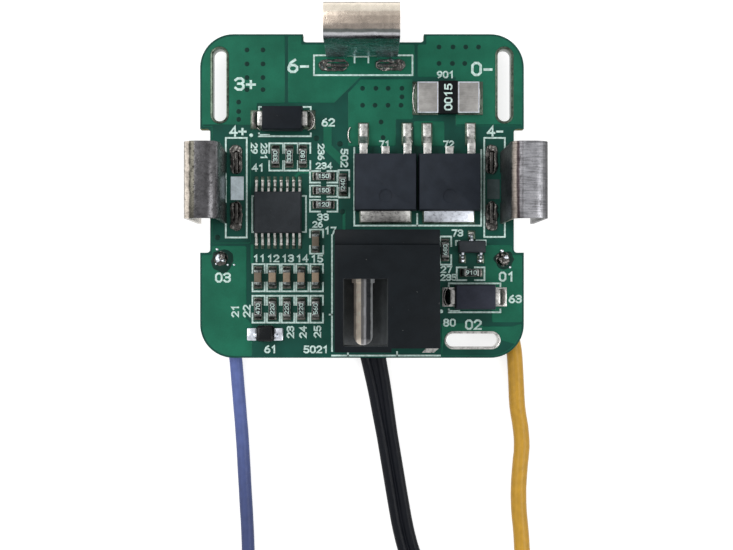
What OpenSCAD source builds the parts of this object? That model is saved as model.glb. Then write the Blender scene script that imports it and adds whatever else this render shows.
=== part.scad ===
// Protection and balancing board for a small lithium pack: a single circuit board that
// carries three folded spring contacts, a charging jack, two power transistors, a current
// shunt, its control chip, the small parts round it, and three leads that leave underneath.
// Everything is drawn about the board's centre, standing on its solder tails at z = 0,
// and then shifted so that the origin is the middle of the footprint.

/* [Board] */
// Width of the board, left to right
board_w = 34; // [33:0.5:38]
// Length of the board, front to back
board_l = 34; // [33.6:0.2:36]
// Thickness of the laminate
board_t = 1.6; // [1:0.1:2.4]
// Radius of the board's corners
corner_r = 3.5; // [1:0.1:4]
// Length of the notch behind each side contact
side_notch_l = 13; // [11:0.25:14]
// Depth of the side notches
side_notch_depth = 1.05; // [0.4:0.05:1.2]
// Length of the notch behind the rear contact
rear_notch_l = 12.7; // [10:0.25:14]
// Depth of the rear notch
rear_notch_depth = 0.85; // [0.4:0.05:1]
// Radius inside the notches' corners
notch_r = 0.35; // [0.1:0.05:0.4]
// How far the solder tails stand out below the board
tail_l = 2; // [1.8:0.1:3]

/* [Cell slots] */
// Width of the plated slots for the cell straps
strap_slot_w = 1.4; // [0.8:0.1:1.6]
// Length of the two slots for the end cells
strap_slot_l = 7.6; // [5:0.2:8]
// Length of the front slot for the middle cells
front_slot_l = 5.4; // [3:0.1:6]
// Distance of the end-cell slots from the board's middle line
strap_slot_x = 14.95; // [14.4:0.05:15.2]
// Distance of the end-cell slots' middle from the board's rear edge
strap_slot_inset = 5.35; // [5:0.05:6]
// Distance of the front slot from the board's middle line
front_slot_x = 11.6; // [11:0.1:11.8]
// Distance of the front slot from the board's front edge
front_slot_inset = 1.85; // [1.3:0.05:2]
// Width of the tinned rim round a slot
rim_w = 0.25; // [0.15:0.01:0.35]
// Thickness of the plating
plate_t = 0.06; // [0.03:0.01:0.1]

/* [Contacts] */
// Thickness of the contacts' spring sheet
sheet_t = 0.4; // [0.25:0.05:0.5]
// Width of a contact
contact_w = 7.5; // [7.2:0.1:8]
// Height of a contact above the board
contact_h = 12; // [9:0.5:16]
// Width across the arch, outside
arch_span = 3.45; // [3:0.05:4.5]
// Outer radius of the arch's bends
arch_r = 1.3; // [0.9:0.05:1.5]
// Width of a contact's solder tab
tab_w = 2.2; // [1.8:0.1:2.4]
// Step from the tabs out to the standing leg
leg_step = 0.5; // [0.3:0.05:0.7]
// Height of the standing leg's lower edge above the board
leg_gap = 1.2; // [0.8:0.1:1.6]
// Width of the notch in the standing leg's lower edge
leg_notch_w = 1.7; // [1:0.1:2]
// Height of that notch
leg_notch_h = 1.2; // [0.6:0.1:2]
// How far the outer leg reaches below the board's top
foot_drop = 0.8; // [0:0.1:1.4]
// Width of the slots that take the solder tabs
tab_slot_w = 1.15; // [0.9:0.05:1.2]
// Length of the slots that take the solder tabs
tab_slot_l = 3; // [2.6:0.1:3.2]
// How far a slot reaches outward past its tab
tab_slot_reach = 0.725; // [0.6:0.025:0.8]
// Distance of the left contact's slots from the middle line
left_contact_x = 13.2; // [13:0.05:13.4]
// Distance of the right contact's slots from the middle line
right_contact_x = 13.6; // [13.4:0.05:13.7]
// Height of the side contacts' middle on the board
side_contact_y = 0.85; // [0.5:0.05:1.1]
// Height of the rear contact's slots on the board
rear_contact_y = 13.75; // [13.5:0.05:14]
// Outward lean of the left contact's standing leg
left_lean = 0.2; // [0:0.05:1]
// Outward lean of the right contact's standing leg
right_lean = 0.6; // [0:0.05:1]
// Outward lean of the rear contact's standing leg
rear_lean = 0.8; // [0:0.05:1]

/* [Charging jack] */
// Width of the jack
jack_w = 10.3; // [10:0.1:10.6]
// Length of the jack
jack_l = 12; // [11.6:0.1:12.2]
// Height of the jack above the board
jack_h = 11; // [10:0.25:12]
// Distance of the jack's left wall from the board's middle line
jack_left = 2.65; // [2.4:0.05:2.8]
// Distance of the jack's rear face from the board's middle line
jack_back = 3.95; // [3.8:0.05:4.1]
// Length of the jack's rear cover
cover_l = 1.5; // [1.2:0.1:1.8]
// How far the rear cover lies below the jack's top
cover_step = 0.3; // [0.1:0.05:0.6]
// Bore that takes the charging plug
bore_d = 4.8; // [4.6:0.1:4.9]
// Distance of the bore's axis from the jack's left wall
bore_side = 2.8; // [2.7:0.05:3]
// Height of the bore's axis above the board
bore_z = 5.6; // [5:0.1:6]
// Depth of the bore
bore_depth = 7.2; // [6.5:0.1:7.6]
// Thickness of the ring in front of the top window
mouth_t = 0.6; // [0.5:0.05:0.8]
// How far the side block stands back from the mouth
shoulder = 0.4; // [0.2:0.05:0.6]
// Diameter of the centre pin
pin_d = 1.9; // [1.6:0.05:2.1]
// How far the pin's tip stays behind the mouth
pin_back = 0.5; // [0.3:0.1:1]
// Thickness of the jack's contact strips
strip_t = 0.3; // [0.2:0.05:0.35]
// Width of the jack's solder tails
strip_w = 2; // [1.5:0.1:2.4]

/* [Power transistors] */
// Width of a power transistor's moulding
power_w = 6.5; // [6.3:0.1:6.6]
// Length of a power transistor's moulding
power_l = 6; // [5.8:0.1:6.2]
// Height of a power transistor's moulding
power_h = 2.3; // [2:0.1:2.5]
// Width of the metal tab
power_tab_w = 5.2; // [4.8:0.1:5.6]
// How far the tab stands out
power_tab_l = 1.1; // [0.8:0.1:1.3]
// Thickness of the lead frame
power_frame_t = 0.5; // [0.4:0.05:0.6]
// Width of a lead
power_lead_w = 0.83; // [0.7:0.01:0.9]
// Spacing of the outer leads
power_lead_gap = 4.57; // [4.3:0.01:4.8]
// Length of the leads beyond the moulding
power_lead_l = 3.2; // [2.8:0.1:3.4]
// Place of the left transistor
power_x = 2.45; // [2.3:0.05:2.6]
// Spacing of the two transistors
power_pitch = 6.65; // [6.62:0.01:6.7]
// Height of their mouldings' middle on the board
power_y = 1.35; // [1.2:0.05:1.4]

/* [Shunt] */
// Length of the shunt
shunt_l = 6.4; // [6:0.1:6.8]
// Width of the shunt
shunt_w = 3.2; // [3:0.1:3.4]
// Thickness of the shunt's metal
shunt_t = 0.9; // [0.6:0.1:1.2]
// Length of the coated middle
shunt_coat_l = 2; // [1.6:0.1:2.6]
// Thickness of the coating
shunt_coat_t = 0.12; // [0.05:0.01:0.2]

/* [Diodes] */
// Length of a power diode's moulding
diode_l = 4.3; // [4:0.1:4.4]
// Width of a power diode's moulding
diode_w = 2.6; // [2.4:0.1:2.8]
// Height of a power diode
diode_h = 2.1; // [1.8:0.1:2.4]
// Width of a power diode's leads
diode_lead_w = 1.45; // [1.2:0.05:1.6]
// Length of the small diode's moulding
small_diode_l = 1.9; // [1.7:0.1:2]
// Width of the small diode's moulding
small_diode_w = 1.3; // [1.2:0.05:1.4]
// Height of the small diode
small_diode_h = 0.95; // [0.8:0.05:1.1]

/* [Control chip] */
// Width of the control chip's moulding
chip_w = 5; // [4.9:0.1:5.2]
// Length of the control chip's moulding
chip_l = 4.4; // [4.2:0.1:4.5]
// Height of the control chip
chip_h = 1.05; // [0.9:0.05:1.2]
// Spacing of the control chip's leads
chip_pitch = 0.65; // [0.6:0.01:0.66]
// Width of a chip lead
chip_lead_w = 0.24; // [0.18:0.01:0.3]
// Length across the chip's leads
chip_span = 6.4; // [6.2:0.1:6.6]

/* [Signal transistor] */
// Width of the signal transistor's moulding
signal_w = 2.9; // [2.8:0.1:3]
// Length of the signal transistor's moulding
signal_l = 1.3; // [1.2:0.1:1.4]
// Height of the signal transistor
signal_h = 1.05; // [0.9:0.05:1.2]
// Spacing of its two paired leads
signal_gap = 1.9; // [1.8:0.05:2]
// Length across its leads
signal_span = 2.5; // [2.3:0.1:2.7]

/* [Small parts] */
// Length of a chip resistor or capacitor
passive_l = 1.6; // [1.5:0.05:1.7]
// Width of a chip resistor or capacitor
passive_w = 0.8; // [0.7:0.05:0.85]
// Height of a chip resistor
resistor_h = 0.45; // [0.35:0.05:0.55]
// Height of a chip capacitor
capacitor_h = 0.8; // [0.6:0.05:0.9]
// Length of the metal ends of a small part
end_l = 0.32; // [0.2:0.01:0.4]
// How far the metal ends stand proud of the body
end_proud = 0.03; // [0.02:0.01:0.05]
// Spacing of the filter parts' columns
filter_pitch = 1.51; // [1.4:0.01:1.55]
// Thickness of the soldered pads
pad_t = 0.1; // [0.05:0.01:0.15]

/* [Leads] */
// Radius of the holes that take the sense leads
lead_hole_r = 0.5; // [0.4:0.05:0.6]
// Distance of the sense leads' holes from the middle line
lead_hole_x = 14.8; // [14.7:0.05:14.9]
// Height of the sense leads' holes on the board
lead_hole_y = -6.6; // [-6.8:0.05:-6.4]
// Radius of the solder domes on those holes
dome_r = 0.85; // [0.75:0.05:0.95]
// Radius of a lead's tinned conductor
core_r = 0.38; // [0.3:0.01:0.42]
// Diameter of the blue sense lead
blue_d = 1.4; // [1.2:0.05:1.5]
// Diameter of the yellow sense lead
yellow_d = 1.7; // [1.2:0.05:1.8]
// Diameter of each core of the black twin lead
twin_d = 1.15; // [1:0.05:1.2]
// Length of the tinned end of a sense lead
bare_end_l = 3.2; // [2:0.1:4]
// Diameter of the thermistor's bead
bead_d = 2.8; // [2.4:0.1:3.2]
// Length of the thermistor's bead
bead_l = 5; // [4:0.1:6]

/* [Hidden] */
$fn = 48;
eps = 0.01;

// Heights of the board's two faces
under_z = tail_l;
top_z = under_z + board_t;
part_z = top_z + pad_t;

// Reach of the contacts from the board's middle, and the footprint's centre
left_reach = left_contact_x + leg_step + left_lean + arch_span;
right_reach = right_contact_x + leg_step + right_lean + arch_span;
rear_reach = rear_contact_y + leg_step + rear_lean + arch_span;
frame_x = (right_reach - left_reach) / 2;
frame_y = (rear_reach - board_l / 2) / 2;

// A contact's tabs stand at its two ends, each in a slot with room at its outer end
tab_gap = contact_w - tab_w;
tab_slot_gap = contact_w + 2 * tab_slot_reach - tab_slot_l;

// The side notches sit a little in front of the contacts' middle
notch_shift = 0.3;
side_notch_y = side_contact_y - notch_shift;
rear_notch_x = 0.15;
strap_slot_y = board_l / 2 - strap_slot_inset;
front_slot_y = front_slot_inset - board_l / 2;

// The jack's walls, bore and contact strips
jack_front = -jack_back - jack_l;
cover_front = -jack_back - cover_l;
axis_z = top_z + bore_z;
bore_x = bore_side - jack_left;
bore_wall = 0.35;
collar_t = 0.4;
collar_lip = 0.2;
pin_tip = jack_front + pin_back;
leaf_h = 2.6;
// How much of the bore's width the roof covers, over the leaf
leaf_cover = 0.45;
leaf_front = jack_front + 1.4;
spring_back = jack_front + bore_depth - 0.2;
spring_room = 0.05;
spring_x = bore_x - bore_d / 2 + 0.1;
tail_clearance = 0.15;
// Solder tails of the pin, the spring and the switch contact: x, y, width and length
tails = [
    [bore_x, cover_front + cover_l / 2, strip_w, strip_t],
    [spring_x, spring_back - strip_w / 2, strip_t, strip_w],
    [jack_w - jack_left - 2, jack_front + 3.5, strip_t, strip_w]
];

// Mouldings: how far the sides draw in, and how deep the leads reach inside
draft = 0.12;
lead_in = 0.4;
thin_lead_t = 0.15;
small_exit_z = 0.45;
power_exit_z = 0.9;
chip_row = 8;
chip_pad_reach = 0.6;
diode_lead_t = 0.2;
diode_lead_reach = 0.45;
diode_exit_z = 1;
diode_foot = 1.3;

// Pads: how far each reaches past a part's end, in under it, and out at its sides
shunt_pad_reach = 0.5;
shunt_pad_side = 0.15;
diode_pad_reach = 1.25;
diode_pad_under = 0.5;
diode_pad_side = 0.275;
small_pad_reach = 0.9;
small_pad_gap = 0.05;
small_pad_w = 0.75;
passive_pad_reach = 0.4;
passive_pad_under = 0.1;
passive_pad_side = 0.05;

// Places of the parts on the board, x and y
shunt_at = [9, 10.25];
rear_diode_at = [-8.3, 8];
front_diode_at = [11.8, -10.6];
small_diode_at = [-10.1, -14.6];
chip_at = [-8.8, -1.75];
signal_at = [11.5, -5.35];

// Small parts: x, y and the turn of each, in rows that share a pitch
filter_x = -10.9;
filter_capacitor_y = -8.55;
filter_resistor_y = -11.85;
row_pitch = 1.44;
stack_pitch = 1.49;
resistors = concat(
    [for (i = [0 : 4]) [filter_x + i * filter_pitch, filter_resistor_y, 90]],
    [for (i = [0 : 2]) [-9.08 + i * row_pitch, 4.14, 90]],
    [for (i = [0 : 2]) [-4.03, 2.06 - i * stack_pitch, 0]],
    [[-2, 1.2, 90], [8.72, -5.67, 90], [11.45, -8.05, 0]]
);
capacitors = concat(
    [for (i = [0 : 4]) [filter_x + i * filter_pitch, filter_capacitor_y, 90]],
    [[-4.86, -4.78, 90]]
);

resistor_count = len(resistors);
capacitor_count = len(capacitors);

// Routes of the leads about the board's middle: x, y and the height of the centre line
blue_route = [
    [-14.7, -8.2, 1.05], [-14.55, -10, 0.9], [-14.3, -12.5, 0.75], [-13.95, -14.8, 0.72],
    [-13.55, -17, 0.72], [-13.3, -19.8, 0.72], [-13.05, -22.8, 0.72], [-12.8, -26, 0.72],
    [-12.62, -29.2, 0.72], [-12.44, -32.4, 0.72], [-12.26, -35.6, 0.72], [-12.16, -38.8, 0.72],
    [-12.14, -41.6, 0.72], [-12.14, -44.6, 0.72]
];
yellow_route = [
    [14.85, -8.2, 1.05], [15, -10, 0.97], [15.35, -12.2, 0.9], [15.8, -14.3, 0.87],
    [16.25, -16.3, 0.87], [16.45, -19.3, 0.87], [16.6, -22.3, 0.87], [16.95, -24.6, 0.87],
    [17.08, -26.6, 0.87], [16.9, -28.6, 0.87], [16.74, -31, 0.87], [16.78, -33.4, 0.87],
    [17, -35.8, 0.87], [17.15, -38.6, 0.87], [17.2, -41.4, 0.87], [17.2, -44.5, 0.87]
];
twin_route = [
    [0.9, -14.6, 0.95], [1, -16, 0.75], [1.3, -17.6, 0.6], [1.85, -20.4, 0.6],
    [2.35, -23.4, 0.6], [2.85, -26.4, 0.6], [3.35, -29.4, 0.6], [3.85, -32.4, 0.6],
    [4.4, -35.4, 0.6], [5.1, -38, 0.6], [5.85, -39.25, 0.6]
];

// Joints of the twin lead under the board
twin_joint_y = -13.5;
twin_dome_r = 0.55;

// Coils of the leads' spare length: centre, and the radii of the turns' centre lines
lead_floor = 0.02;
turn_gap = 0.03;
bare_from = 2.6;
bead_from = 2.8;
coil_y = -49.5;
blue_coil_x = -20.54;
yellow_coil_x = 25.65;
sense_coil_r = 8.4;
sense_turns = 1.5;
tail_bend_r = 2.6;
twin_coil_at = [2.6, -52.8];
twin_coil_r = 11.9;
twin_turns = 1.13;
twin_bend_r = 5;

// ---------------------------------------------------------------- shared shapes

// Moves a piece from the board's own centre to the part's frame
module on_board() {
    translate([-frame_x, -frame_y, 0]) children();
}

// A flat rectangle with round corners
module rounded(w, l, r) {
    square([w - 2 * r, l], center = true);
    square([w, l - 2 * r], center = true);
    for (x = [-1, 1]) {
        for (y = [-1, 1]) {
            translate([x * (w / 2 - r), y * (l / 2 - r)]) circle(r);
        }
    }
}

// A flat slot with round ends, long along Y
module slot(l, w) {
    square([w, l - w], center = true);
    for (y = [-1, 1]) {
        translate([0, y * (l - w) / 2]) circle(w / 2);
    }
}

// A block whose four sides draw in above and below its parting line
module moulding(w, l, h, part_h) {
    side_in = draft;
    intersection() {
        rotate([90, 0, 0]) linear_extrude(l, center = true) drafted(w, h, part_h, side_in);
        rotate([90, 0, 90]) linear_extrude(w, center = true) drafted(l, h, part_h, side_in);
    }
}

// Section of a moulding: widest at the parting line
module drafted(w, h, part_h, side_in) {
    low_in = side_in * part_h / h;
    polygon([
        [-w / 2 + low_in, 0], [w / 2 - low_in, 0], [w / 2, part_h], [w / 2 - side_in, h],
        [side_in - w / 2, h], [-w / 2, part_h]
    ]);
}

// A bent lead that runs out along +X from inside a moulding, steps down and ends in a foot
module gull_lead(half_body, tip, exit_z, t, w) {
    knee = half_body + 0.25 * (tip - half_body);
    ankle = half_body + 0.5 * (tip - half_body);
    inside = half_body - lead_in;
    rotate([90, 0, 0]) linear_extrude(w, center = true) polygon([
        [inside, exit_z], [inside, exit_z + t], [knee + t / 2, exit_z + t], [ankle + t / 2, t],
        [tip, t], [tip, 0], [ankle - t / 2, 0], [knee - t / 2, exit_z]
    ]);
}

// A lead that runs out along +X, turns down the moulding's end and folds back below it
module folded_lead(half_body, reach, exit_z, foot, t, w) {
    inside = half_body - lead_in;
    outer = half_body + reach;
    rotate([90, 0, 0]) linear_extrude(w, center = true) polygon([
        [inside, exit_z], [inside, exit_z + t], [outer, exit_z + t], [outer, 0],
        [outer - foot, 0], [outer - foot, t], [outer - t, t], [outer - t, exit_z]
    ]);
}

// A soldered pad under a part's lead
module pad(w, l) {
    linear_extrude(pad_t) square([w, l], center = true);
}

// Puts a piece at a place on the board's top, on the pads
module on_pads(at, turn = 0) {
    on_board() translate([at[0], at[1], part_z]) rotate(turn) children();
}

// ---------------------------------------------------------------- board

module board_outline() {
    difference() {
        rounded(board_w, board_l, corner_r);
        for (side = [-1, 1]) {
            translate([side * board_w / 2, side_notch_y])
                rounded(2 * side_notch_depth, side_notch_l, notch_r);
        }
        translate([rear_notch_x, board_l / 2]) rounded(rear_notch_l, 2 * rear_notch_depth, notch_r);
    }
}

// The three slots for cell straps
module strap_slots(grow) {
    l = strap_slot_l + 2 * grow;
    w = strap_slot_w + 2 * grow;
    for (side = [-1, 1]) {
        translate([side * strap_slot_x, strap_slot_y]) slot(l, w);
    }
    translate([front_slot_x, front_slot_y]) rotate(90) slot(front_slot_l + 2 * grow, w);
}

// A contact's own place: its local X points outward and Y runs along the contact
module at_left_contact() {
    translate([-left_contact_x, side_contact_y, top_z]) rotate(180) children();
}

module at_right_contact() {
    translate([right_contact_x, side_contact_y, top_z]) children();
}

module at_rear_contact() {
    translate([0, rear_contact_y, top_z]) rotate(90) children();
}

module contact_slots(grow = 0) {
    for (end = [-1, 1]) {
        translate([0, end * tab_slot_gap / 2]) slot(tab_slot_l + 2 * grow, tab_slot_w + 2 * grow);
    }
}

module circuit_board() {
    color("darkgreen") on_board() translate([0, 0, under_z]) difference() {
        linear_extrude(board_t) difference() {
            board_outline();
            strap_slots(plate_t);
            for (side = [-1, 1]) {
                translate([side * lead_hole_x, lead_hole_y]) circle(lead_hole_r);
            }
            tail_holes();
        }
        translate([0, 0, -top_z]) {
            at_left_contact() slot_cut();
            at_right_contact() slot_cut();
            at_rear_contact() slot_cut();
        }
    }
}

module slot_cut() {
    translate([0, 0, -board_t]) linear_extrude(3 * board_t) contact_slots();
}

module strap_slot_plating() {
    color("silver") on_board() difference() {
        union() {
            translate([0, 0, under_z]) linear_extrude(board_t) strap_slots(plate_t);
            for (z = [under_z - plate_t, top_z]) {
                translate([0, 0, z]) linear_extrude(plate_t) strap_slots(rim_w);
            }
        }
        translate([0, 0, under_z - board_t]) linear_extrude(3 * board_t) strap_slots(0);
    }
}

// ---------------------------------------------------------------- contacts

// Arch of the folded sheet, from its inner foot outward; the bends are round
module arch_section(t) {
    r = arch_r - t;
    for (x = [arch_r, arch_span - arch_r]) {
        translate([x, 0]) circle(r);
    }
    translate([arch_r, 0]) square([arch_span - 2 * arch_r, r]);
    translate([t, -contact_h]) square([arch_span - 2 * t, contact_h]);
}

// Side view of a contact above the board: X outward, Y up from the board's top
module contact_section(lean) {
    arch_z = contact_h - arch_r;
    foot = leg_step + lean;
    translate([foot, arch_z]) difference() {
        arch_section(0);
        arch_section(sheet_t);
        translate([-arch_span, -2 * contact_h]) square([2 * arch_span + sheet_t, 2 * contact_h]);
    }
    polygon([
        [leg_step, leg_gap], [leg_step + sheet_t, leg_gap], [foot + sheet_t, arch_z],
        [foot, arch_z]
    ]);
    outer_leg = arch_z + foot_drop;
    translate([foot + arch_span - sheet_t, -foot_drop]) square([sheet_t, outer_leg]);
}

// Side view of a solder tab, with its step out to the standing leg
module tab_section() {
    half_t = sheet_t / 2;
    step_z = leg_gap / 4;
    translate([-half_t, -top_z]) square([sheet_t, top_z + step_z]);
    polygon([
        [-half_t, step_z], [half_t, step_z], [leg_step + sheet_t, leg_gap], [leg_step, leg_gap]
    ]);
}

module contact_tabs() {
    for (end = [-1, 1]) {
        translate([0, end * tab_gap / 2, 0]) rotate([90, 0, 0])
            linear_extrude(tab_w, center = true) tab_section();
    }
}

module contact(lean) {
    difference() {
        union() {
            rotate([90, 0, 0]) linear_extrude(contact_w, center = true) contact_section(lean);
            contact_tabs();
        }
        translate([leg_step - sheet_t, -leg_notch_w / 2, leg_gap - eps])
            cube([3 * sheet_t, leg_notch_w, leg_notch_h]);
    }
}

module left_contact() {
    color("gray") on_board() at_left_contact() contact(left_lean);
}

module right_contact() {
    color("silver") on_board() at_right_contact() contact(right_lean);
}

module rear_contact() {
    color("tan") on_board() at_rear_contact() contact(rear_lean);
}

// Solder that fills a contact's slots, with a low mound above and a deeper one below
module tab_solder() {
    above = 0.25;
    below = 0.8;
    grow = 0.2;
    difference() {
        union() {
            translate([0, 0, -board_t]) linear_extrude(board_t) contact_slots();
            linear_extrude(above) contact_slots(grow / 2);
            translate([0, 0, -board_t - below]) linear_extrude(below) contact_slots(grow);
        }
        contact_tabs();
    }
}

module contact_solder() {
    color("lightgray") on_board() {
        at_left_contact() tab_solder();
        at_right_contact() tab_solder();
        at_rear_contact() tab_solder();
    }
}

// ---------------------------------------------------------------- charging jack

// One of the three solder tails, down through the board: the pin's, the spring's, the switch's
module tail(i) {
    t = tails[i];
    translate([t[0] - t[2] / 2, t[1] - t[3] / 2, under_z - tail_l])
        cube([t[2], t[3], board_t + tail_l + pad_t]);
}

module tail_holes() {
    for (t = tails) {
        translate([t[0], t[1]])
            square([t[2] + 2 * tail_clearance, t[3] + 2 * tail_clearance], center = true);
    }
}

// Round bore with straight walls up to the top window, behind the mouth's ring
module jack_bore() {
    translate([bore_x, jack_front - eps, axis_z]) rotate([-90, 0, 0])
        cylinder(h = bore_depth + eps, d = bore_d);
    translate([bore_x - bore_d / 2 + leaf_cover, jack_front + mouth_t, axis_z])
        cube([bore_d - leaf_cover, bore_depth - mouth_t, jack_h]);
}

// The spring's leaf beside the bore and its strip down to the tail, with room round them
module spring_strip(room) {
    t = strip_t + 2 * room;
    leaf_y = leaf_front - room;
    translate([spring_x - t / 2, leaf_y, axis_z - leaf_h / 2 - room])
        cube([t, spring_back - leaf_y + room, leaf_h + 2 * room]);
    translate([spring_x - t / 2, spring_back - strip_w - room, part_z - room])
        cube([t, strip_w + 2 * room, axis_z - part_z + room]);
}

// The switch contact's strip inside the side block
module switch_strip() {
    t = tails[2];
    translate([t[0] - t[2] / 2, t[1] - t[3] / 2, part_z - eps]) cube([t[2], t[3], bore_z]);
}

module jack_housing() {
    round_side = bore_side + bore_d / 2 + bore_wall;
    color([0.13, 0.14, 0.15]) on_board() difference() {
        union() {
            translate([-jack_left, jack_front, part_z])
                cube([round_side, cover_front - jack_front, jack_h - pad_t]);
            translate([-jack_left, jack_front + shoulder, part_z])
                cube([jack_w, cover_front - jack_front - shoulder, jack_h - pad_t]);
        }
        jack_bore();
        spring_strip(spring_room);
        pin_shaft();
        switch_strip();
    }
}

module jack_rear_cover() {
    color([0.16, 0.17, 0.18]) on_board() difference() {
        translate([-jack_left, cover_front, part_z])
            cube([jack_w, cover_l, jack_h - pad_t - cover_step]);
        pin_terminal();
        pin_shaft();
    }
}

// The pin: a round tip, its shaft, a collar on the bore's end wall and a thinner shank
module pin_shaft() {
    r = pin_d / 2;
    bore_end = jack_front + bore_depth;
    shaft_end = bore_end - collar_t;
    terminal_y = cover_front + cover_l / 2;
    translate([bore_x, pin_tip + r, axis_z]) sphere(r);
    along_bore(pin_tip + r, shaft_end, r);
    along_bore(shaft_end, bore_end, r + collar_lip);
    along_bore(bore_end, terminal_y, r - collar_lip);
}

// A round bar on the bore's axis from one Y to another
module along_bore(from_y, to_y, r) {
    translate([bore_x, from_y, axis_z]) rotate([-90, 0, 0]) cylinder(h = to_y - from_y, r = r);
}

// Flat terminal that the pin is riveted to
module pin_terminal() {
    t = tails[0];
    translate([t[0] - t[2] / 2, t[1] - t[3] / 2, part_z])
        cube([t[2], t[3], axis_z - part_z + pin_d / 2 + strip_t]);
}

module jack_pin() {
    color("silver") on_board() {
        pin_shaft();
        pin_terminal();
        tail(0);
    }
}

module jack_spring() {
    color("peru") on_board() {
        spring_strip(0);
        tail(1);
    }
}

module jack_switch_contact() {
    color("silver") on_board() {
        switch_strip();
        tail(2);
    }
}

// Solder in the tails' holes, with a cone round each tail below
module jack_solder() {
    below = 0.8;
    color("lightgray") on_board() difference() {
        union() {
            translate([0, 0, under_z]) linear_extrude(board_t) tail_holes();
            for (t = tails) {
                wide = max(t[2], t[3]) / 2;
                translate([t[0], t[1], under_z - below])
                    cylinder(h = below, r1 = wide * 0.75, r2 = wide + 0.35);
            }
        }
        for (i = [0 : len(tails) - 1]) {
            tail(i);
        }
    }
}

// ---------------------------------------------------------------- power transistors

function power_place(i) = [power_x + i * power_pitch, power_y];

// Metal tab, its cut middle lead and the two bent outer leads
module power_frame_shape() {
    tab_inside = power_l * 0.75;
    stub_l = 0.75;
    half_l = power_l / 2;
    translate([-power_tab_w / 2, -half_l - power_tab_l, 0])
        cube([power_tab_w, power_tab_l + tab_inside, power_frame_t]);
    translate([-power_lead_w / 2, half_l - lead_in, power_exit_z])
        cube([power_lead_w, lead_in + stub_l, power_frame_t]);
    for (side = [-1, 1]) {
        translate([side * power_lead_gap / 2, 0, 0]) rotate(90)
            gull_lead(half_l, half_l + power_lead_l, power_exit_z, power_frame_t, power_lead_w);
    }
}

module power_frame(i) {
    color("silver") on_pads(power_place(i)) power_frame_shape();
}

module power_moulding(i) {
    dimple_r = 0.7;
    dimple_depth = 0.12;
    color([0.19, 0.2, 0.22]) on_pads(power_place(i)) difference() {
        moulding(power_w, power_l, power_h, power_exit_z + power_frame_t / 2);
        power_frame_shape();
        translate([0, -power_l / 4, power_h - dimple_depth])
            cylinder(h = 2 * dimple_depth, r = dimple_r);
    }
}

// ---------------------------------------------------------------- shunt

module shunt_shape() {
    lift = 0.25;
    end = (shunt_l - shunt_coat_l) / 2;
    for (side = [-1, 1]) {
        translate([side * (shunt_l - end) / 2, 0, shunt_t / 2])
            cube([end, shunt_w, shunt_t], center = true);
    }
    translate([0, 0, (shunt_t + lift) / 2])
        cube([shunt_coat_l + eps, shunt_w, shunt_t - lift], center = true);
}

module shunt_strip() {
    color("silver") on_pads(shunt_at) shunt_shape();
}

module shunt_coating() {
    color([0.1, 0.1, 0.11]) on_pads(shunt_at) difference() {
        translate([0, 0, shunt_t / 2 + shunt_coat_t])
            cube([shunt_coat_l, shunt_w + 2 * shunt_coat_t, shunt_t], center = true);
        shunt_shape();
    }
}

// ---------------------------------------------------------------- diodes

module power_diode_leads_shape() {
    for (turn = [0, 180]) {
        rotate(turn) folded_lead(
            diode_l / 2, diode_lead_reach, diode_exit_z, diode_foot, diode_lead_t, diode_lead_w
        );
    }
}

module power_diode_moulding_shape() {
    lift = diode_lead_t + 0.02;
    difference() {
        translate([0, 0, lift])
            moulding(diode_l, diode_w, diode_h - lift, diode_exit_z - lift + diode_lead_t / 2);
        power_diode_leads_shape();
    }
}

module rear_diode_moulding() {
    color([0.12, 0.13, 0.14]) on_pads(rear_diode_at) power_diode_moulding_shape();
}

module rear_diode_leads() {
    color("silver") on_pads(rear_diode_at) power_diode_leads_shape();
}

module front_diode_moulding() {
    color([0.12, 0.13, 0.14]) on_pads(front_diode_at) power_diode_moulding_shape();
}

module front_diode_leads() {
    color("silver") on_pads(front_diode_at) power_diode_leads_shape();
}

module small_diode_leads_shape() {
    for (turn = [0, 180]) {
        rotate(turn) gull_lead(
            small_diode_l / 2, small_diode_l / 2 + 0.55, small_exit_z, thin_lead_t, 0.35
        );
    }
}

module small_diode_moulding() {
    color([0.12, 0.13, 0.14]) on_pads(small_diode_at) difference() {
        moulding(small_diode_l, small_diode_w, small_diode_h, small_exit_z + thin_lead_t / 2);
        small_diode_leads_shape();
    }
}

module small_diode_leads() {
    color("silver") on_pads(small_diode_at) small_diode_leads_shape();
}

// ---------------------------------------------------------------- control chip

module chip_leads_shape() {
    for (side = [-1, 1]) {
        for (i = [0 : chip_row - 1]) {
            translate([(i - (chip_row - 1) / 2) * chip_pitch, 0, 0]) rotate(side * 90)
                gull_lead(chip_l / 2, chip_span / 2, small_exit_z, thin_lead_t, chip_lead_w);
        }
    }
}

module control_chip_moulding() {
    lift = 0.1;
    mark_r = 0.25;
    mark_depth = 0.05;
    mark_in = 0.75;
    color([0.2, 0.21, 0.23]) on_pads(chip_at) difference() {
        translate([0, 0, lift])
            moulding(chip_w, chip_l, chip_h - lift, small_exit_z - lift + thin_lead_t / 2);
        chip_leads_shape();
        translate([mark_in - chip_w / 2, mark_in - chip_l / 2, chip_h - mark_depth])
            cylinder(h = 2 * mark_depth, r = mark_r);
    }
}

module control_chip_leads() {
    color("silver") on_pads(chip_at) chip_leads_shape();
}

// ---------------------------------------------------------------- signal transistor

module signal_leads_shape() {
    lead_w = 0.42;
    rotate(90) gull_lead(signal_l / 2, signal_span / 2, small_exit_z, thin_lead_t, lead_w);
    for (side = [-1, 1]) {
        translate([side * signal_gap / 2, 0, 0]) rotate(-90)
            gull_lead(signal_l / 2, signal_span / 2, small_exit_z, thin_lead_t, lead_w);
    }
}

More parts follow.
